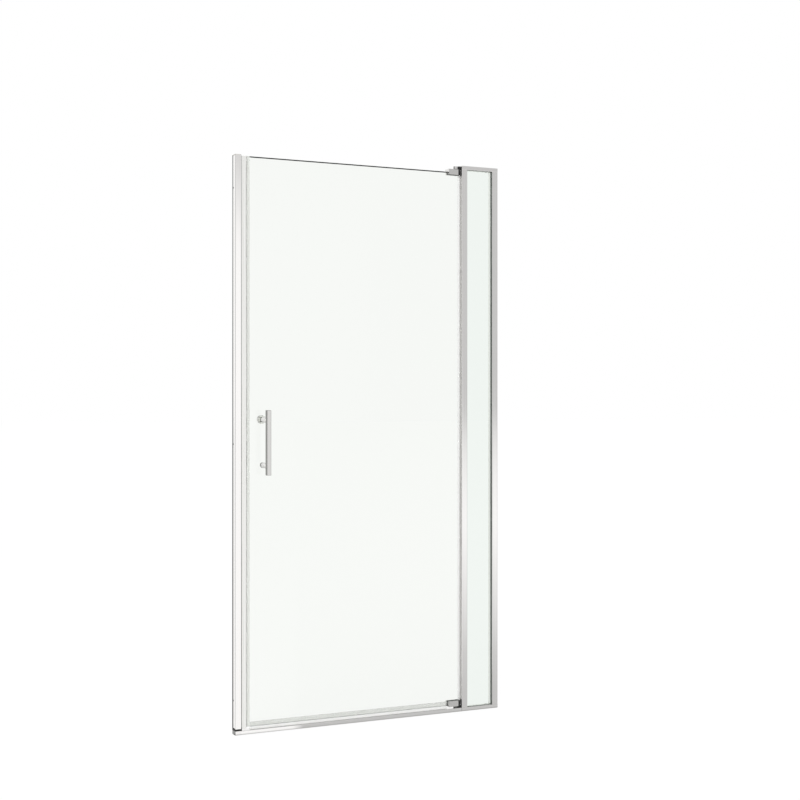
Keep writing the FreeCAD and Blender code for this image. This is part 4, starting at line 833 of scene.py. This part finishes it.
class SHOWERDOOR_OT_stage(bpy.types.Operator):
    """Set the floor, the soft light and the camera"""

    bl_idname = "showerdoor.stage"
    bl_label = "Stage"

    # tones of the room's walls as metal mirrors them, by degrees round from the front, and of
    # the walls above
    WALLS = ((-180, 0.8), (-168, 0.95), (-145, 0.95), (-132, 0.4), (-110, 0.12), (-60, 0.12),
             (-38, 0.5), (-18, 0.95), (0, 1.0), (23.5, 1.0), (25.5, 0.57), (45, 0.57),
             (60, 0.2), (120, 0.2), (140, 0.95), (165, 0.95), (180, 0.8))
    UPPER_WALL = 0.57
    # where the upper walls start, as a ray's rise, and how much higher that is behind
    UPPER_START, RISE_BEHIND = (0.11, 0.19), 0.12
    # tones of the floor on the right, by the power of ten of its distance in metres, and of the
    # floor behind, beside and close to the object
    FLOOR = ((-0.5, 0.54), (0.0, 0.6), (0.3, 0.74), (0.5, 0.84), (0.8, 0.99), (1.1, 0.93),
             (1.6, 0.76), (1.8, 0.66))
    FAR_FLOOR, SIDE_FLOOR, NEAR_FLOOR = 0.92, 0.12, 0.3
    # the floor is bright left of a line from the sill, 21.8 degrees from straight ahead: the way
    # across that line, and where it blends, in metres
    ACROSS_LINE, LINE_BLEND = (0.928, 0.371, 0.0), (-0.264, -0.232)
    # how far from the object the floor leaves the object's own shade
    SHADE_BLEND = (0.012, 0.035)
    # the side floor starts this far out, and further by this much of the distance away
    SIDE_BLEND, SIDE_SPREAD = (0.45, 0.55), 1.2
    # the floor's white is a little over 1, to make up for the share of it that is lit
    FLOOR_WHITE, FLOOR_GLOW = 1.025, 0.93
    # tones of the walls behind and in front, as metal mirrors them through glass
    THROUGH_GLASS = (0.42, 1.0)
    LIGHT = 0.8
    LAMP_SIDE, LAMP_PLACE, LAMP_AIM = 3.0, (-3.2, -4.0, 4.2), (0.0, 0.0, 0.9)

    def execute(self, context):
        scene = context.scene
        setup = scene.shower_door_stage
        scene.view_settings.view_transform = "Standard"
        self.make_camera(scene, setup)
        self.make_floor(scene, setup)
        self.make_world(scene)
        self.make_lamp(scene, setup)
        return {"FINISHED"}

    def make_camera(self, scene, setup):
        """Level camera at the photograph's viewing angle."""
        camera = bpy.data.objects.new("camera", bpy.data.cameras.new("camera"))
        camera.data.lens = setup.lens
        camera.data.sensor_width = 36.0
        camera.location = setup.camera_place
        camera.rotation_euler = (math.radians(90.0), 0.0, setup.camera_turn)
        scene.collection.objects.link(camera)
        scene.camera = camera

    def shown(self, tree, place, mirrored, white):
        """How bright the room is to a ray: white when seen, at its own tone when mirrored.
        Returns that, and 1 for every ray that isn't there to light the object."""
        path = add_node(tree, "ShaderNodeLightPath")
        clear = add_node(tree, "ShaderNodeMath", {
            0: path.outputs["Is Camera Ray"], 1: path.outputs["Is Transmission Ray"],
        }, operation="MAXIMUM")
        seen = add_node(tree, "ShaderNodeMath", {
            0: clear.outputs[0], 1: path.outputs["Is Glossy Ray"],
        }, operation="MAXIMUM")
        bounced = add_node(tree, "ShaderNodeMath", {0: path.outputs["Glossy Depth"]}, {1: 0.5},
                           operation="GREATER_THAN")
        front = add_node(tree, "ShaderNodeMath", {0: place}, {1: 0.0}, operation="LESS_THAN")
        through = add_node(tree, "ShaderNodeMapRange", {"Value": front.outputs[0]}, {
            "To Min": self.THROUGH_GLASS[0], "To Max": self.THROUGH_GLASS[1],
        })
        tone = add_node(tree, "ShaderNodeMix", {
            "Factor": path.outputs["Is Transmission Ray"], 2: mirrored,
            3: through.outputs["Result"],
        }, data_type="FLOAT")
        level = add_node(tree, "ShaderNodeMix", {
            "Factor": bounced.outputs[0], 3: tone.outputs[0],
        }, {2: white}, data_type="FLOAT")
        return level.outputs[0], seen.outputs[0]

    def make_floor(self, scene, setup):
        """White seamless floor, lit a little, so that the object's shadow stays on it."""
        half = setup.floor_half
        mesh = bpy.data.meshes.new("floor")
        corners = [(-half, -half, 0), (half, -half, 0), (half, half, 0), (-half, half, 0)]
        mesh.from_pydata(corners, [], [(0, 1, 2, 3)])
        floor = bpy.data.objects.new("floor", mesh)
        scene.collection.objects.link(floor)
        material, tree = empty_material("white_studio_floor")
        place = add_node(tree, "ShaderNodeTexCoord")
        spot = add_node(tree, "ShaderNodeSeparateXYZ", {"Vector": place.outputs["Object"]})
        away = add_node(tree, "ShaderNodeMath", {0: spot.outputs["Y"]}, operation="ABSOLUTE")
        power = add_node(tree, "ShaderNodeMath", {0: away.outputs[0]}, {1: 10.0},
                         operation="LOGARITHM")
        first, last = self.FLOOR[0][0], self.FLOOR[-1][0]
        along = add_node(tree, "ShaderNodeMapRange", {"Value": power.outputs[0]},
                         {"From Min": first, "From Max": last})
        right = add_node(tree, "ShaderNodeValToRGB", {"Fac": along.outputs["Result"]})
        set_stops(right.color_ramp, [((p - first) / (last - first), (t, t, t, 1.0))
                                     for p, t in self.FLOOR])
        side = add_node(tree, "ShaderNodeVectorMath", {0: place.outputs["Object"]},
                        {1: self.ACROSS_LINE}, operation="DOT_PRODUCT")
        left = add_node(tree, "ShaderNodeMapRange", {"Value": side.outputs["Value"]}, {
            "From Min": self.LINE_BLEND[0], "From Max": self.LINE_BLEND[1],
            "To Min": 1.0, "To Max": 0.0,
        })
        ahead = add_node(tree, "ShaderNodeMix", {
            "Factor": left.outputs["Result"], 2: right.outputs["Color"],
        }, {3: 1.0}, data_type="FLOAT")
        open_floor = add_node(tree, "ShaderNodeMapRange", {"Value": away.outputs[0]}, {
            "From Min": self.SHADE_BLEND[0], "From Max": self.SHADE_BLEND[1],
        })
        shaded = add_node(tree, "ShaderNodeMix", {
            "Factor": open_floor.outputs["Result"], 3: ahead.outputs[0],
        }, {2: self.NEAR_FLOOR}, data_type="FLOAT")
        behind = add_node(tree, "ShaderNodeMath", {0: spot.outputs["Y"]}, {1: 0.0},
                          operation="GREATER_THAN")
        across = add_node(tree, "ShaderNodeMix", {
            "Factor": behind.outputs[0], 2: shaded.outputs[0],
        }, {3: self.FAR_FLOOR}, data_type="FLOAT")
        wide = add_node(tree, "ShaderNodeMath", {0: spot.outputs["X"]}, operation="ABSOLUTE")
        beside = add_node(tree, "ShaderNodeMath", {0: away.outputs[0], 2: wide.outputs[0]},
                          {1: -self.SIDE_SPREAD}, operation="MULTIPLY_ADD")
        aside = add_node(tree, "ShaderNodeMapRange", {"Value": beside.outputs[0]}, {
            "From Min": self.SIDE_BLEND[0], "From Max": self.SIDE_BLEND[1],
        })
        tone = add_node(tree, "ShaderNodeMix", {
            "Factor": aside.outputs["Result"], 2: across.outputs[0],
        }, {3: self.SIDE_FLOOR}, data_type="FLOAT")
        level, seen = self.shown(tree, spot.outputs["Y"], tone.outputs[0], self.FLOOR_WHITE)
        lit = add_node(tree, "ShaderNodeBsdfDiffuse", values={"Color": linear("#f4f4f2")})
        glow = add_node(tree, "ShaderNodeEmission", {"Strength": level},
                        {"Color": linear("#ffffff")})
        both = add_node(tree, "ShaderNodeMixShader", {1: lit.outputs[0], 2: glow.outputs[0]},
                        {"Fac": self.FLOOR_GLOW})
        surface = add_node(tree, "ShaderNodeMixShader",
                           {"Fac": seen, 1: lit.outputs[0], 2: both.outputs[0]})
        add_node(tree, "ShaderNodeOutputMaterial", {"Surface": surface.outputs[0]})
        mesh.materials.append(material)

    def make_world(self, scene):
        """Plain white room, whose walls metal mirrors in their own tones."""
        world = bpy.data.worlds.new("studio")
        world.use_nodes = True
        scene.world = world
        tree = world.node_tree
        tree.nodes.clear()
        place = add_node(tree, "ShaderNodeTexCoord")
        way = add_node(tree, "ShaderNodeSeparateXYZ", {"Vector": place.outputs["Generated"]})
        front = add_node(tree, "ShaderNodeMath", {0: way.outputs["Y"]}, {1: -1.0},
                         operation="MULTIPLY")
        angle = add_node(tree, "ShaderNodeMath", {0: way.outputs["X"], 1: front.outputs[0]},
                         operation="ARCTAN2")
        round_room = add_node(tree, "ShaderNodeMapRange", {"Value": angle.outputs[0]},
                              {"From Min": -math.pi, "From Max": math.pi})
        walls = add_node(tree, "ShaderNodeValToRGB", {"Fac": round_room.outputs["Result"]})
        set_stops(walls.color_ramp, [((a + 180) / 360, (t, t, t, 1.0)) for a, t in self.WALLS])
        back = add_node(tree, "ShaderNodeMath", {0: way.outputs["Y"]}, {1: 0.0},
                        operation="MAXIMUM")
        rise = add_node(tree, "ShaderNodeMath", {0: back.outputs[0], 2: way.outputs["Z"]},
                        {1: -self.RISE_BEHIND}, operation="MULTIPLY_ADD")
        low = add_node(tree, "ShaderNodeMapRange", {"Value": rise.outputs[0]}, {
            "From Min": self.UPPER_START[0], "From Max": self.UPPER_START[1],
            "To Min": 1.0, "To Max": 0.0,
        })
        tone = add_node(tree, "ShaderNodeMix", {
            "Factor": low.outputs["Result"], 3: walls.outputs["Color"],
        }, {2: self.UPPER_WALL}, data_type="FLOAT")
        level, seen = self.shown(tree, way.outputs["Y"], tone.outputs[0], 1.0)
        strength = add_node(tree, "ShaderNodeMix", {"Factor": seen, 3: level},
                            {2: self.LIGHT}, data_type="FLOAT")
        glow = add_node(tree, "ShaderNodeBackground", {"Strength": strength.outputs[0]},
                        {"Color": linear("#ffffff")})
        add_node(tree, "ShaderNodeOutputWorld", {"Surface": glow.outputs[0]})

    def make_lamp(self, scene, setup):
        """One large soft key light, high in front to the left."""
        lamp = bpy.data.lights.new("key_light", "AREA")
        lamp.shape = "RECTANGLE"
        lamp.size = lamp.size_y = self.LAMP_SIDE
        lamp.energy = setup.key_power
        key = bpy.data.objects.new("key_light", lamp)
        key.location = self.LAMP_PLACE
        aim = Vector(self.LAMP_AIM) - key.location
        key.rotation_euler = aim.to_track_quat("-Z", "Y").to_euler()
        key.visible_camera = False
        key.visible_glossy = False
        key.visible_transmission = False
        scene.collection.objects.link(key)


class SHOWERDOOR_PT_sidebar(bpy.types.Panel):
    """The door's pieces and stage, in the 3D view's sidebar."""

    bl_label = "Shower Door"
    bl_idname = "SHOWERDOOR_PT_sidebar"
    bl_space_type = "VIEW_3D"
    bl_region_type = "UI"
    bl_category = "Shower Door"

    def draw(self, context):
        scene = context.scene
        for group in (scene.shower_door_finishes, scene.shower_door_fittings,
                      scene.shower_door_stage):
            for name in group.__annotations__:
                self.layout.prop(group, name)
        for operator in OPERATORS:
            self.layout.operator(operator.bl_idname)


OPERATORS = (
    SHOWERDOOR_OT_stage,
    SHOWERDOOR_OT_materials,
    SHOWERDOOR_OT_frame,
    SHOWERDOOR_OT_screws,
    SHOWERDOOR_OT_door,
    SHOWERDOOR_OT_seals,
    SHOWERDOOR_OT_hinges,
    SHOWERDOOR_OT_handle,
)
GROUPS = {
    "shower_door_finishes": ShowerDoorFinishes,
    "shower_door_fittings": ShowerDoorFittings,
    "shower_door_stage": ShowerDoorStage,
}
CLASSES = (*GROUPS.values(), *OPERATORS, SHOWERDOOR_PT_sidebar)


def register():
    """Register the classes and their settings."""
    for item in CLASSES:
        bpy.utils.register_class(item)
    for name, group in GROUPS.items():
        setattr(bpy.types.Scene, name, bpy.props.PointerProperty(type=group))


def unregister():
    """Remove the classes and their settings."""
    for name in GROUPS:
        delattr(bpy.types.Scene, name)
    for item in reversed(CLASSES):
        bpy.utils.unregister_class(item)


def main():
    """Make every piece and the stage."""
    register()
    bpy.ops.showerdoor.stage()
    bpy.ops.showerdoor.materials()
    bpy.ops.showerdoor.frame()
    bpy.ops.showerdoor.screws()
    bpy.ops.showerdoor.door()
    bpy.ops.showerdoor.seals()
    bpy.ops.showerdoor.hinges()
    bpy.ops.showerdoor.handle()


if __name__ == "__main__":
    main()
